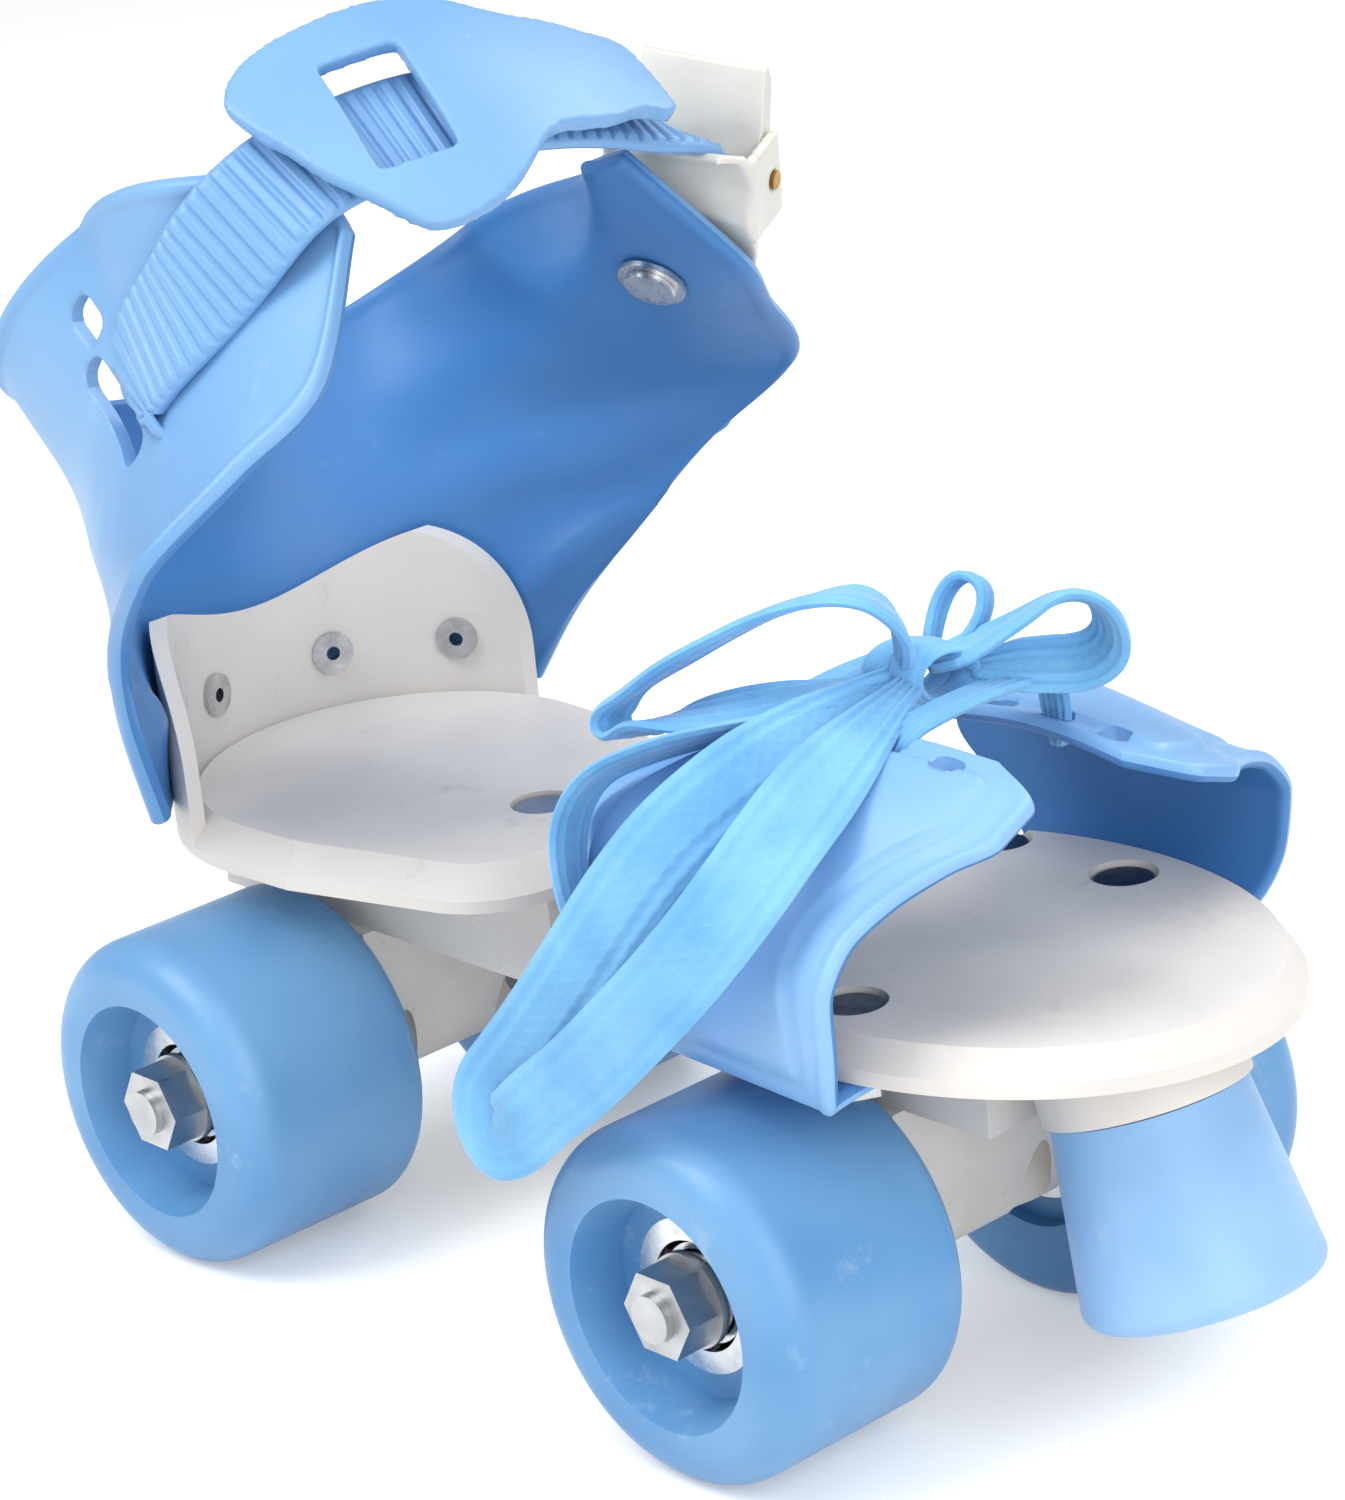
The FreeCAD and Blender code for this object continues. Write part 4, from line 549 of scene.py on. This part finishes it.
def cup_surface(heights: np.ndarray, places: np.ndarray) -> np.ndarray:
    """Outer face of the heel cup, in millimetres.

    Each level is a cubic plan curve from straight back to the front edge of a flap, whose
    handles come from the table. It rises from the back to the front, and where it would come
    closer than the counter's wall it is pushed out to rest on it.

    Args:
        heights: Shares of the height, one per row.
        places: -1 at the right flap's front edge, 0 at the back, 1 at the left one.
    Returns:
        Array of rows by columns by 3.
    """
    columns = list(zip(*CUP_LEVELS))
    edge_x, edge_y, edge_z, back_x, back_z, back_handle, edge_handle, heading, rise, crown = (
        eased(list(zip(columns[0], column)), heights)[:, None] for column in columns[1:])
    turn = np.radians(heading)
    a = np.abs(places)[None, :]
    w0, w1, w2, w3 = (1 - a) ** 3, 3 * (1 - a) ** 2 * a, 3 * (1 - a) * a ** 2, a ** 3
    x = (w0 + w1) * back_x + w2 * (edge_x - edge_handle * np.cos(turn)) + w3 * edge_x
    y = w1 * back_handle + w2 * (edge_y - edge_handle * np.sin(turn)) + w3 * edge_y
    lift = np.where(places[None, :] < 0, crown, crown / 6)
    z = back_z + (edge_z - back_z) * a ** rise + lift * 6.75 * a ** 2 * (1 - a)
    reach = np.hypot(x - HEEL_CENTRE, y)
    clear = (reach + COUNTER_SEAT + np.sqrt((reach - COUNTER_SEAT) ** 2 + 0.16)) / 2
    free = np.maximum(step_up(z, 13.0, 36.0), step_up(a, 0.78, 1.0))
    clear = COUNTER_SEAT + (clear - COUNTER_SEAT) * free
    x, y = HEEL_CENTRE + (x - HEEL_CENTRE) * clear / reach, y * clear / reach
    return np.stack([x, y * np.sign(places)[None, :], z], -1)


def rounded_slot(along: Vector, across: Vector, half_length: float, half_width: float) -> list:
    """Outline of a slot with round corners, as offsets in metres."""
    corner = min(half_length, half_width) * 0.8
    points = []
    for sx, sy, start in ((1, 1, 0), (-1, 1, 90), (-1, -1, 180), (1, -1, 270)):
        for step in range(5):
            turn = math.radians(start + step * 22.5)
            x = sx * (half_length - corner) + corner * math.cos(turn)
            y = sy * (half_width - corner) + corner * math.sin(turn)
            points.append((along * x + across * y) * MM)
    return points


def heel_cup(book: MaterialBook) -> bpy.types.Object:
    """The flared heel cup with its beaded rim, strap slit and finger hole."""
    heights = shares(125, 2.2)
    places = np.concatenate([shares(150, 2.6, -1.0, 0.0)[:-6], shares(150, 2.6, 0.0, 1.0)[6:]])
    places = np.unique(np.round(places, 6))
    places = places[(np.abs(places) > 0.012) | (places == 0)]
    face = cup_surface(heights, places)
    made = Shell("heel_cup_shell", face, CUP_WALL, bead=0.9, bead_width=3.6).build()
    # The inner face takes the darker copy of the vinyl: painted shade inside the cup.
    paint(made, book, "cup_vinyl", "cup_inside_painted_shade")
    along, across = FLAP_ALONG.normalized(), FLAP_ACROSS.normalized()
    carve(made, [prism(name, rounded_slot(along, across, *halves), middle * MM, FLAP_OUT, CUT_REACH)
                 for name, middle, halves in FLAP_CUTS])
    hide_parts("heel_cup")
    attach(made, "heel")
    return made


# Toe strap. Each station is a point x, y, z on a wing's edge, from the hem under the bed to the lace.

HEM_Z = -9.7
WING_REAR = [(114, 22, HEM_Z), (116, 45, HEM_Z), (107, 48, 2), (99.5, 46.8, 13.5), (101, 47, 21),
             (104, 45.5, 27.5), (108, 40, 32.5), (111.5, 31, 34.5), (115, 22, 35), (119, 14, 35)]
WING_FRONT = [(158, 24, HEM_Z), (161, 47.6, HEM_Z), (165.5, 52.5, 1), (166.5, 53.3, 11),
              (167, 48.8, 18.8), (169.3, 41, 23.8), (173, 33.5, 27.2), (178.5, 26, 30.8),
              (178.5, 19.5, 33.8), (167, 13.3, 36.8)]
LACE_HOLE_Y = 18.5
LACE_HOLES = (0.12, 0.37, 0.62, 0.87)
WING_WALL = 2.4
TIP_DROP = {-1: 0.0, 1: 7.0}


def wing_edge(stations: list, places: np.ndarray) -> np.ndarray:
    """Points along one edge of a wing, at shares of the broken line through its stations."""
    points = np.array(stations, float)
    run = np.concatenate([[0.0], np.linalg.norm(np.diff(points, axis=0), axis=1).cumsum()])
    where = places * run[-1]
    return np.stack([eased(list(zip(run, points[:, axis])), where) for axis in range(3)], -1)


def toe_wing(book: MaterialBook, side: int) -> bpy.types.Object:
    """One wing of the toe strap: moulded panel line and lace holes."""
    down = shares(95, 1.4)
    across = shares(62, 1.4)
    rear, front = wing_edge(WING_REAR, down), wing_edge(WING_FRONT, down)
    grid = rear[:, None] * (1 - across[None, :, None]) + front[:, None] * across[None, :, None]
    belly = 2.2 * np.sin(np.pi * across)[None, :] * step_up(down, 0.35, 0.7)[:, None]
    grid[..., 2] += belly * step_up(down, 0.5, 0.8)[:, None]
    grid[..., 1] += belly * 0.6
    grid[..., 1] *= side
    grid[..., 2] -= TIP_DROP[side] * step_up(down, 0.35, 1.0)[:, None]
    s, t = np.meshgrid(down, across, indexing="ij")
    line = np.minimum.reduce([t - 0.13, 0.87 - t, (0.93 - s) * 1.6, (s - 0.30) * 2.2])
    relief = 0.55 * step_up(line, 0.0, 0.014) - 0.35 * np.exp(-(line / 0.012) ** 2)
    name = "toe_strap_left" if side > 0 else "toe_strap_right"
    if side < 0:
        grid, relief = grid[:, ::-1], relief[:, ::-1]
    made = Shell(name + "_panel", grid, WING_WALL, bead=0.35, bead_width=3.0, relief=relief).build()
    # The inner face takes the darker copy of the vinyl: painted shade on the wing's inside.
    paint(made, book, "strap_vinyl", "cup_inside_painted_shade")
    tools = []
    for share in LACE_HOLES:
        place = np.array(WING_REAR[-1]) * (1 - share) + np.array(WING_FRONT[-1]) * share
        middle = Vector((place[0], side * LACE_HOLE_Y, place[2] - TIP_DROP[side])) * MM
        turned = rounded_slot(Vector((1, 0, 0)), Vector((0, 1, 0)), 2.8, 2.1)
        tools.append(prism(f"lace_hole_tool_{share}", turned, middle, Vector((0, 0, 1)), CUT_REACH))
    carve(made, tools)
    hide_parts(name)
    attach(made, "toe")
    return made


# Lace


@dataclass
class Ribbon:
    """A flat woven lace along a route.

    Attributes:
        name: Name of the piece.
        route: Control points of its smooth line, in millimetres.
        width: Width of the ribbon.
        thickness: Thickness of the ribbon.
        centre: Its flat side faces away from this point, or from the route's middle if not given.
        twist: Turn of the flat side along the route, in degrees, as (share, angle) stations.
        gather: Share of the full width along the route, as (share, width) stations.
    """

    name: str
    route: list
    width: float = 8.0
    thickness: float = 1.5
    centre: tuple | None = None
    twist: list = field(default_factory=lambda: [(0.0, 0.0), (1.0, 0.0)])
    gather: list = field(default_factory=lambda: [(0.0, 0.4), (0.14, 1.0), (0.86, 1.0), (1.0, 0.4)])

    def line(self) -> np.ndarray:
        """Points of the smooth line through the control points, in metres."""
        curve = bpy.data.curves.new(self.name + "_line", "CURVE")
        curve.dimensions = "3D"
        curve.resolution_u = 24
        spline = curve.splines.new("NURBS")
        spline.points.add(len(self.route) - 1)
        for point, place in zip(spline.points, self.route):
            point.co = (*(c * MM for c in place), 1.0)
        spline.order_u = 3
        spline.use_endpoint_u = True
        holder = bpy.data.objects.new(self.name + "_line", curve)
        bpy.context.scene.collection.objects.link(holder)
        graph = bpy.context.evaluated_depsgraph_get()
        mesh = bpy.data.meshes.new_from_object(holder.evaluated_get(graph))
        points = np.array([tuple(v.co) for v in mesh.vertices])
        bpy.data.objects.remove(holder)
        bpy.data.meshes.remove(mesh)
        bpy.data.curves.remove(curve)
        return self.even(points)

    @staticmethod
    def even(points: np.ndarray, step: float = 0.9 * MM) -> np.ndarray:
        """Points at even lengths along a line."""
        run = np.concatenate([[0.0], np.linalg.norm(np.diff(points, axis=0), axis=1).cumsum()])
        where = np.linspace(0, run[-1], max(int(run[-1] / step), 8))
        return np.stack([np.interp(where, run, points[:, axis]) for axis in range(3)], -1)

    def build(self) -> tuple[bpy.types.Object, np.ndarray, float]:
        """Makes the ribbon; returns it with its line and its length in metres."""
        line = self.line()
        along = np.gradient(line, axis=0)
        along /= np.linalg.norm(along, axis=1, keepdims=True)
        centre = np.array(self.centre) * MM if self.centre else line.mean(0)
        out = line - centre
        out -= along * (out * along).sum(1, keepdims=True)
        out /= np.maximum(np.linalg.norm(out, axis=1, keepdims=True), 1e-9)
        for _ in range(12):
            padded = np.concatenate([out[:1], out, out[-1:]])
            out = padded[:-2] + padded[1:-1] * 2 + padded[2:]
            out -= along * (out * along).sum(1, keepdims=True)
            out /= np.maximum(np.linalg.norm(out, axis=1, keepdims=True), 1e-9)
        side = np.cross(along, out)
        angle = np.radians(eased(self.twist, np.linspace(0, 1, len(line))))[:, None]
        out, side = out * np.cos(angle) + side * np.sin(angle), side * np.cos(angle) - out * np.sin(angle)
        ring = 56
        turn = np.linspace(0, 2 * np.pi, ring, endpoint=False)
        flat = np.sign(np.cos(turn)) * np.abs(np.cos(turn)) ** 0.7 * self.width / 2 * MM
        rib = 1 + 0.42 * np.cos(flat / MM * 2 * np.pi / (self.width / 5.0))
        high = np.sign(np.sin(turn)) * np.abs(np.sin(turn)) ** 0.6 * self.thickness / 2 * MM * rib
        gathered = eased(self.gather, np.linspace(0, 1, len(line)))[:, None, None]
        points = (line[:, None] + side[:, None] * flat[None, :, None] * gathered
                  + out[:, None] * high[None, :, None] * (1.6 - 0.6 * gathered))
        rows = len(line)
        faces = tube_faces(rows, ring)
        length = float(np.linalg.norm(np.diff(line, axis=0), axis=1).sum())
        run = np.linspace(0, length / MM, rows)
        uvs = np.stack([np.repeat(run, ring), np.tile(flat / MM, rows)], -1)
        made = new_object(self.name, points.reshape(-1, 3), faces, uvs)
        tidy_normals(made)
        return made, line, length


LACES = {
    "lace_long_loop": Ribbon("lace_long_loop_ribbon", [
        (138, -2, 42), (137.5, -12, 41), (137, -24, 39.6), (137, -37, 37), (134, -50, 31), (129, -57, 22),
        (122, -61, 10.5), (112, -63, -2.5), (105, -64, -10.5), (99.5, -64.5, -16.5), (101, -66, -22.5),
        (108, -67, -20), (114.5, -67, -14), (125, -66.5, -6), (136.5, -65, 5), (146, -62.5, 15),
        (153, -57, 25.5), (154.5, -47, 34), (151, -33, 38.5), (146, -19, 40.5), (141, -6, 41.5)],
        width=14.0, thickness=1.3, centre=(60, 60, -50),
        gather=[(0.0, 0.35), (0.16, 1.0), (0.84, 1.0), (1.0, 0.35)]),
    "lace_left_loop": Ribbon("lace_left_loop_ribbon", [
        (137.5, -3, 43), (141, -6, 49), (143, -10, 55), (140, -15, 59.5), (129, -21, 56.5), (117.5, -26, 50),
        (109, -30, 44.5), (101, -32, 38.5), (101, -32, 33.5), (111, -30, 37.5), (122, -24, 40),
        (131, -15, 41.5), (137, -6, 42)], width=10.5,
        twist=[(0.0, 10.0), (0.3, 30.0), (0.7, 35.0), (1.0, 10.0)]),
    "lace_right_loop": Ribbon("lace_right_loop_ribbon", [
        (139, 1, 43), (144, 4, 45), (151, 8, 49.5), (157.5, 13, 54.5), (163, 16, 52.5), (162, 18.5, 45.5),
        (157, 17.5, 41.2), (150, 12, 41.5), (144, 5, 41.5)], width=9.5,
        twist=[(0.0, -5.0), (0.3, -20.0), (0.6, -40.0), (1.0, -10.0)]),
    "lace_small_loop": Ribbon("lace_small_loop_ribbon", [
        (136, 4, 42), (134.5, 7.5, 49), (137.5, 10.5, 55), (143, 11.5, 53), (142.5, 8.5, 46), (139, 4, 42)],
        width=5.0, thickness=1.3, gather=[(0.0, 0.7), (0.3, 1.0), (0.7, 1.0), (1.0, 0.7)]),
}
BACK_LOOP = Ribbon("lace_back_loop_ribbon", [
    (137, -10, 40.6), (130, -25, 39.6), (124, -35, 38.8), (120, -42, 38), (114, -48, 35), (110.5, -51, 28),
    (111.5, -53, 19), (116, -54.5, 11), (122, -55, 5)], width=10.0, thickness=1.3, centre=(132, -38, 10),
    twist=[(0.0, 0.0), (0.5, 25.0), (1.0, 30.0)], gather=[(0.0, 0.35), (0.2, 1.0), (1.0, 1.0)])
CROSSINGS_X = (124.8, 148.8)


def lace(book: MaterialBook) -> list:
    """The bow's loops, its knot and the crossings between the lace holes."""
    made = []
    for node, ribbon in LACES.items():
        piece, line, length = ribbon.build()
        paint(piece, book, "lace_fabric")
        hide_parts(node)
        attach(piece, "toe")
        log.info("%s is %.0f mm long", node, length / MM)
        made.append(piece)
    back, _, _ = BACK_LOOP.build()
    paint(back, book, "lace_fabric")
    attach(back, "toe")
    made.append(back)
    y = LACE_HOLE_Y
    for i, x in enumerate(CROSSINGS_X):
        route = [(x, -y, 33), (x, -y, 38.4), (x + 0.6, -6, 40.0), (x + 0.2, 6, 39.8), (x, y - 1, 38.4),
                 (x, y, 31), (x, y, 26)]
        crossing = Ribbon(f"lace_crossing_{i}", route, width=6.5, thickness=1.4, centre=(x, 0, 10))
        piece, _, _ = crossing.build()
        paint(piece, book, "lace_fabric")
        if i == 0:
            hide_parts("lace_crossings")
        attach(piece, "toe")
        made.append(piece)
    made.append(lace_knot(book))
    return made


def lace_knot(book: MaterialBook) -> bpy.types.Object:
    """The knot: three turns of flat lace round the crossing point, slanting against each other."""
    points, faces, uvs = [], [], []
    middle = np.array([138.5, 0.0, 42.0])
    for lean, radius, shift in ((0.5, 5.2, -2.4), (-0.35, 5.6, 0.6), (0.15, 5.0, 3.2)):
        count, ring = 40, 12
        start = len(points)
        for i in range(count):
            turn = 2 * math.pi * i / count
            out = np.array([0.15 * math.cos(turn), math.cos(turn), math.sin(turn) * 0.8])
            place = middle + np.array([shift + lean * 4 * math.cos(turn), 0, 0]) + out * radius
            for k in range(ring):
                angle = 2 * math.pi * k / ring
                offset = np.array([math.cos(angle) * 3.0, 0, 0]) + out * math.sin(angle) * 0.9
                points.append((place + offset) * MM)
                uvs.append((i * 0.8, math.cos(angle) * 3.0))
        for i in range(count):
            for k in range(ring):
                a, b = start + i * ring, start + (i + 1) % count * ring
                faces.append((a + k, a + (k + 1) % ring, b + (k + 1) % ring, b + k))
    made = new_object("lace_knot_turns", np.array(points), faces, np.array(uvs))
    tidy_normals(made)
    paint(made, book, "lace_fabric")
    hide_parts("lace_knot")
    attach(made, "toe")
    return made


# Straps and buckle


ARCH_CENTRE = np.array([20.0, 0.0, 80.0])
STRAP_HALF, STRAP_HALF_THICK, STRAP_TAIL = 10.5, 1.0, 6.0
RIB_PITCH, RIB_HEIGHT, RIBS_FROM, RIBS_TO, PLAIN_END = 3.0, 0.75, 12.0, 190.0, 12.0
STRAP_SLICES, STRAP_STEP = 57, 0.25
SMOOTHING_SLICES, SMOOTHING_LINE = 4, 60
SOFT_CELL, SOFT_ROUNDS, LEVER_BEVEL = 0.6, 7, 0.8
# Section of the strap: share of the half width, share of the half thickness.
STRAP_RING = [
    (1.0, -0.35), (1.0, 0.35), (0.985, 0.8), (0.95, 1.0), (0.9, 1.0), (0.8, 1.0), (0.5, 1.0), (0, 1.0),
    (-0.5, 1.0), (-0.8, 1.0), (-0.9, 1.0), (-0.95, 1.0), (-0.985, 0.8), (-1.0, 0.35), (-1.0, -0.35),
    (-0.97, -1.0), (0.0, -1.0), (0.97, -1.0),
]
RIBBED_SHARE = 0.93


def strap_line(node: bpy.types.Object) -> tuple:
    """Middle line and width directions of the strap, read from its solid in slices round its arch."""
    points = np.array([tuple(v.co) for v in node.data.vertices]) / MM
    around = np.arctan2(points[:, 2] - ARCH_CENTRE[2], -points[:, 1])
    around = np.where(around < -1.0, around + 2 * np.pi, around)
    edges = np.linspace(around.min(), around.max(), STRAP_SLICES + 1)
    middles, widths = [], []
    for low, high in zip(edges[:-1], edges[1:]):
        part = points[(around >= low) & (around < high)]
        if len(part) < 8:
            continue
        _, _, axes = np.linalg.svd(part - part.mean(0), full_matrices=False)
        places = (part - part.mean(0)) @ axes[0]
        middles.append(part.mean(0) + axes[0] * (places.min() + places.max()) / 2)
        widths.append(axes[0] * np.sign(axes[0][0]))
    inward = middles[0] - middles[2]
    middles.insert(0, middles[0] + inward / np.linalg.norm(inward) * STRAP_TAIL)
    widths.insert(0, widths[0])
    middles, widths = np.array(middles), np.array(widths)
    for _ in range(SMOOTHING_SLICES):
        middles[1:-1] = (middles[:-2] + middles[1:-1] * 2 + middles[2:]) / 4
        widths[1:-1] = (widths[:-2] + widths[1:-1] * 2 + widths[2:]) / 4
    run = np.concatenate([[0.0], np.linalg.norm(np.diff(middles, axis=0), axis=1).cumsum()])
    where = np.arange(0.0, run[-1], STRAP_STEP)
    line = np.stack([np.interp(where, run, middles[:, a]) for a in range(3)], -1)
    across = np.stack([np.interp(where, run, widths[:, a]) for a in range(3)], -1)
    for _ in range(SMOOTHING_LINE):
        line[1:-1] = (line[:-2] + line[1:-1] * 2 + line[2:]) / 4
    along = np.gradient(line, axis=0)
    along /= np.linalg.norm(along, axis=1, keepdims=True)
    across -= along * (across * along).sum(1, keepdims=True)
    across /= np.linalg.norm(across, axis=1, keepdims=True)
    return where, line, across, np.cross(across, along)


def ribbed_strap(node: bpy.types.Object) -> bpy.types.Object:
    """The ladder strap: a flat band with a rib every few millimetres across its outer face."""
    where, line, across, out = strap_line(node)
    out *= np.sign((out * (line - ARCH_CENTRE)).sum(1, keepdims=True))
    length = where[-1]
    phase = ((where - RIBS_FROM) / RIB_PITCH) % 1.0
    rib = step_up(phase, 0.05, 0.25) * (1 - step_up(phase, 0.7, 0.9))
    rib *= RIB_HEIGHT * (where > RIBS_FROM) * (where < min(RIBS_TO, length - PLAIN_END))
    half = STRAP_HALF * (1 - 0.45 * step_up(where, length - 8, length) ** 2)
    points = []
    for x, z in STRAP_RING:
        lift = rib * (1.0 if z == 1.0 and abs(x) < RIBBED_SHARE else 0.0)
        points.append(line + across * (half * x)[:, None] + out * (STRAP_HALF_THICK * z + lift)[:, None])
    count, rows = len(STRAP_RING), len(where)
    points = np.stack(points, 1)
    faces = tube_faces(rows, count)
    flat = np.array([x * STRAP_HALF for x, _ in STRAP_RING])
    uvs = np.stack([np.repeat(where, count), np.tile(flat, rows)], -1)
    made = new_object("ladder_strap_band", points.reshape(-1, 3) * MM, faces, uvs)
    tidy_normals(made)
    return made


def ladder_strap(book: MaterialBook, nodes: dict) -> list:
    """The ribbed strap, its soft pad, and the buckle's plastic pieces, with rounded edges."""
    band = ribbed_strap(nodes["ladder_strap"])
    pad, base = (pillowed_copy(nodes[name], name + "_moulded", SOFT_CELL, SOFT_ROUNDS)
                 for name in ("strap_pad", "buckle_base"))
    lever = softened_copy(nodes["buckle_lever"], "buckle_lever_moulded", LEVER_BEVEL)
    pieces = [
        ("ladder_strap", band, "cup_vinyl", "strap_vinyl", "heel"),
        ("strap_pad", pad, "cup_vinyl", "strap_vinyl", "heel"),
        ("buckle_base", base, "buckle_plastic", "buckle_plastic", "heel"),
        ("buckle_lever", lever, "buckle_plastic", "buckle_plastic", "buckle_lever"),
    ]
    for node, piece, finish, slot, body in pieces:
        paint(piece, book, finish)
        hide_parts(node)
        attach(piece, body)
    return [piece for _, piece, *_ in pieces]


# Bearings


def bearing_balls(book: MaterialBook, end: str, side: str) -> bpy.types.Object:
    """The two rings of balls in a wheel's bearings."""
    axle_x = 130.6 if end == "front" else 0.0
    way = -1 if side == "right" else 1
    ball_radius, pitch_radius, count = 1.15, 8.15, 11
    mesh = bmesh.new()
    for near in (25.0 + 4.0, 22.0 + 39.2 - 9.0 - 4.0):
        for k in range(count):
            turn = 2 * math.pi * k / count
            place = Vector((axle_x + pitch_radius * math.cos(turn), way * near,
                            -47.0 + pitch_radius * math.sin(turn))) * MM
            bmesh.ops.create_icosphere(mesh, subdivisions=2, radius=ball_radius * MM,
                                       matrix=Matrix.Translation(place))
    data = bpy.data.meshes.new(f"{end}_{side}_balls")
    mesh.to_mesh(data)
    mesh.free()
    data.polygons.foreach_set("use_smooth", [True] * len(data.polygons))
    made = bpy.data.objects.new(data.name, data)
    bpy.context.scene.collection.objects.link(made)
    paint(made, book, "ball_steel")
    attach(made, f"{end}_{side}_wheel")
    return made


# Stage, light and camera


@dataclass(frozen=True)
class Shot:
    """The camera's place and turn, in the model's frame."""

    place: tuple = (0.6193, -0.4724, 0.2746)
    azimuth: float = 48.89
    elevation: float = 19.75
    roll: float = -5.75
    lens: float = 110.4

    def axes(self) -> Matrix:
        """The camera's axes as the columns of a turn."""
        az, el, roll = (math.radians(v) for v in (self.azimuth, self.elevation, self.roll))
        back = Vector((math.sin(az) * math.cos(el), -math.cos(az) * math.cos(el), math.sin(el)))
        right = Vector((math.cos(az), math.sin(az), 0.0))
        up = back.cross(right)
        camera_x = right * math.cos(roll) + up * math.sin(roll)
        camera_y = up * math.cos(roll) - right * math.sin(roll)
        return Matrix((camera_x, camera_y, back)).transposed()

    def build(self) -> bpy.types.Object:
        """Makes the camera and puts it to use."""
        data = bpy.data.cameras.new("camera")
        data.sensor_fit = "AUTO"
        data.sensor_width = 36.0
        data.lens = self.lens
        data.clip_start, data.clip_end = 0.01, 20.0
        made = bpy.data.objects.new("camera", data)
        made.matrix_world = Matrix.Translation(self.place) @ self.axes().to_4x4()
        bpy.context.scene.collection.objects.link(made)
        bpy.context.scene.camera = made
        return made


# Each lamp: name, place, point that it faces, size in metres, power in watts.
LAMPS = [
    ("key", (-0.25, -0.75, 1.0), (0.06, 0, 0), 0.7, 9.3),
    ("fill", (0.95, -0.35, 0.45), (0.06, 0, 0), 0.8, 5.6),
    ("rim", (0.1, 0.9, 0.8), (0.06, 0, 0.02), 0.6, 5.0),
    ("top", (0.15, -0.1, 1.3), (0.07, 0, 0), 1.0, 5.2),
]


def add_light(name: str, place: tuple, aim: tuple, size: float, power: float) -> None:
    """A square soft white lamp that faces a point."""
    data = bpy.data.lights.new(name, "AREA")
    data.size, data.energy = size, power
    made = bpy.data.objects.new(name, data)
    made.location = place
    made.rotation_euler = (Vector(aim) - Vector(place)).to_track_quat("-Z", "Y").to_euler()
    bpy.context.scene.collection.objects.link(made)


def stage_material() -> bpy.types.Material:
    """Matt pale floor that the camera and reflections see as nearly white, shadows included."""
    made = bpy.data.materials.new("pale_studio_floor")
    made.use_nodes = True
    tree = made.node_tree
    tree.nodes.clear()
    output = tree.nodes.new("ShaderNodeOutputMaterial")
    matt = add_node(tree, "ShaderNodeBsdfDiffuse", Color=linear("#f4f3f1"))
    lit = add_node(tree, "ShaderNodeEmission", Color=linear("#ffffff"), Strength=0.28)
    both = add_node(tree, "ShaderNodeAddShader")
    tree.links.new(matt.outputs[0], both.inputs[0])
    tree.links.new(lit.outputs[0], both.inputs[1])
    path = tree.nodes.new("ShaderNodeLightPath")
    seen = add_node(tree, "ShaderNodeMath", operation="MAXIMUM")
    tree.links.new(path.outputs["Is Camera Ray"], seen.inputs[0])
    tree.links.new(path.outputs["Is Glossy Ray"], seen.inputs[1])
    mix = add_node(tree, "ShaderNodeMixShader")
    tree.links.new(seen.outputs[0], mix.inputs[0])
    tree.links.new(matt.outputs[0], mix.inputs[1])
    tree.links.new(both.outputs[0], mix.inputs[2])
    tree.links.new(mix.outputs[0], output.inputs[0])
    return made


def stage() -> None:
    """Pale floor, plain world and soft lamps."""
    mesh = bmesh.new()
    place = Matrix.Translation((0, 0, FLOOR_Z))
    bmesh.ops.create_grid(mesh, x_segments=2, y_segments=2, size=FLOOR_HALF, matrix=place)
    data = bpy.data.meshes.new("floor")
    mesh.to_mesh(data)
    mesh.free()
    floor = bpy.data.objects.new("floor", data)
    floor.data.materials.append(stage_material())
    bpy.context.scene.collection.objects.link(floor)
    world = bpy.data.worlds.new("studio")
    world.use_nodes = True
    tree = world.node_tree
    tree.nodes.clear()
    output = tree.nodes.new("ShaderNodeOutputWorld")
    plain = add_node(tree, "ShaderNodeBackground", Color=linear("#f2f4f8"), Strength=0.55)
    white = add_node(tree, "ShaderNodeBackground", Color=linear("#ffffff"), Strength=1.0)
    path = tree.nodes.new("ShaderNodeLightPath")
    mix = add_node(tree, "ShaderNodeMixShader")
    tree.links.new(path.outputs["Is Camera Ray"], mix.inputs[0])
    tree.links.new(plain.outputs[0], mix.inputs[1])
    tree.links.new(white.outputs[0], mix.inputs[2])
    tree.links.new(mix.outputs[0], output.inputs[0])
    bpy.context.scene.world = world
    for lamp in LAMPS:
        add_light(*lamp)


def main() -> None:
    """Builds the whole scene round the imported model."""
    logging.basicConfig(level=logging.INFO)
    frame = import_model()
    bpy.context.scene.view_settings.view_transform = "Standard"
    Shot().build()
    book = MaterialBook()
    slots = {entry["node"]: entry["material_slot"] for entry in frame["record"]["subparts"]}
    for name, node in frame["nodes"].items():
        paint(node, book, slots[name])
    lace(book)
    heel_cup(book)
    for side in (-1, 1):
        toe_wing(book, side)
    ladder_strap(book, frame["nodes"])
    for end in ("rear", "front"):
        for side in ("right", "left"):
            bearing_balls(book, end, side)
    stage()


if __name__ == "__main__":
    main()
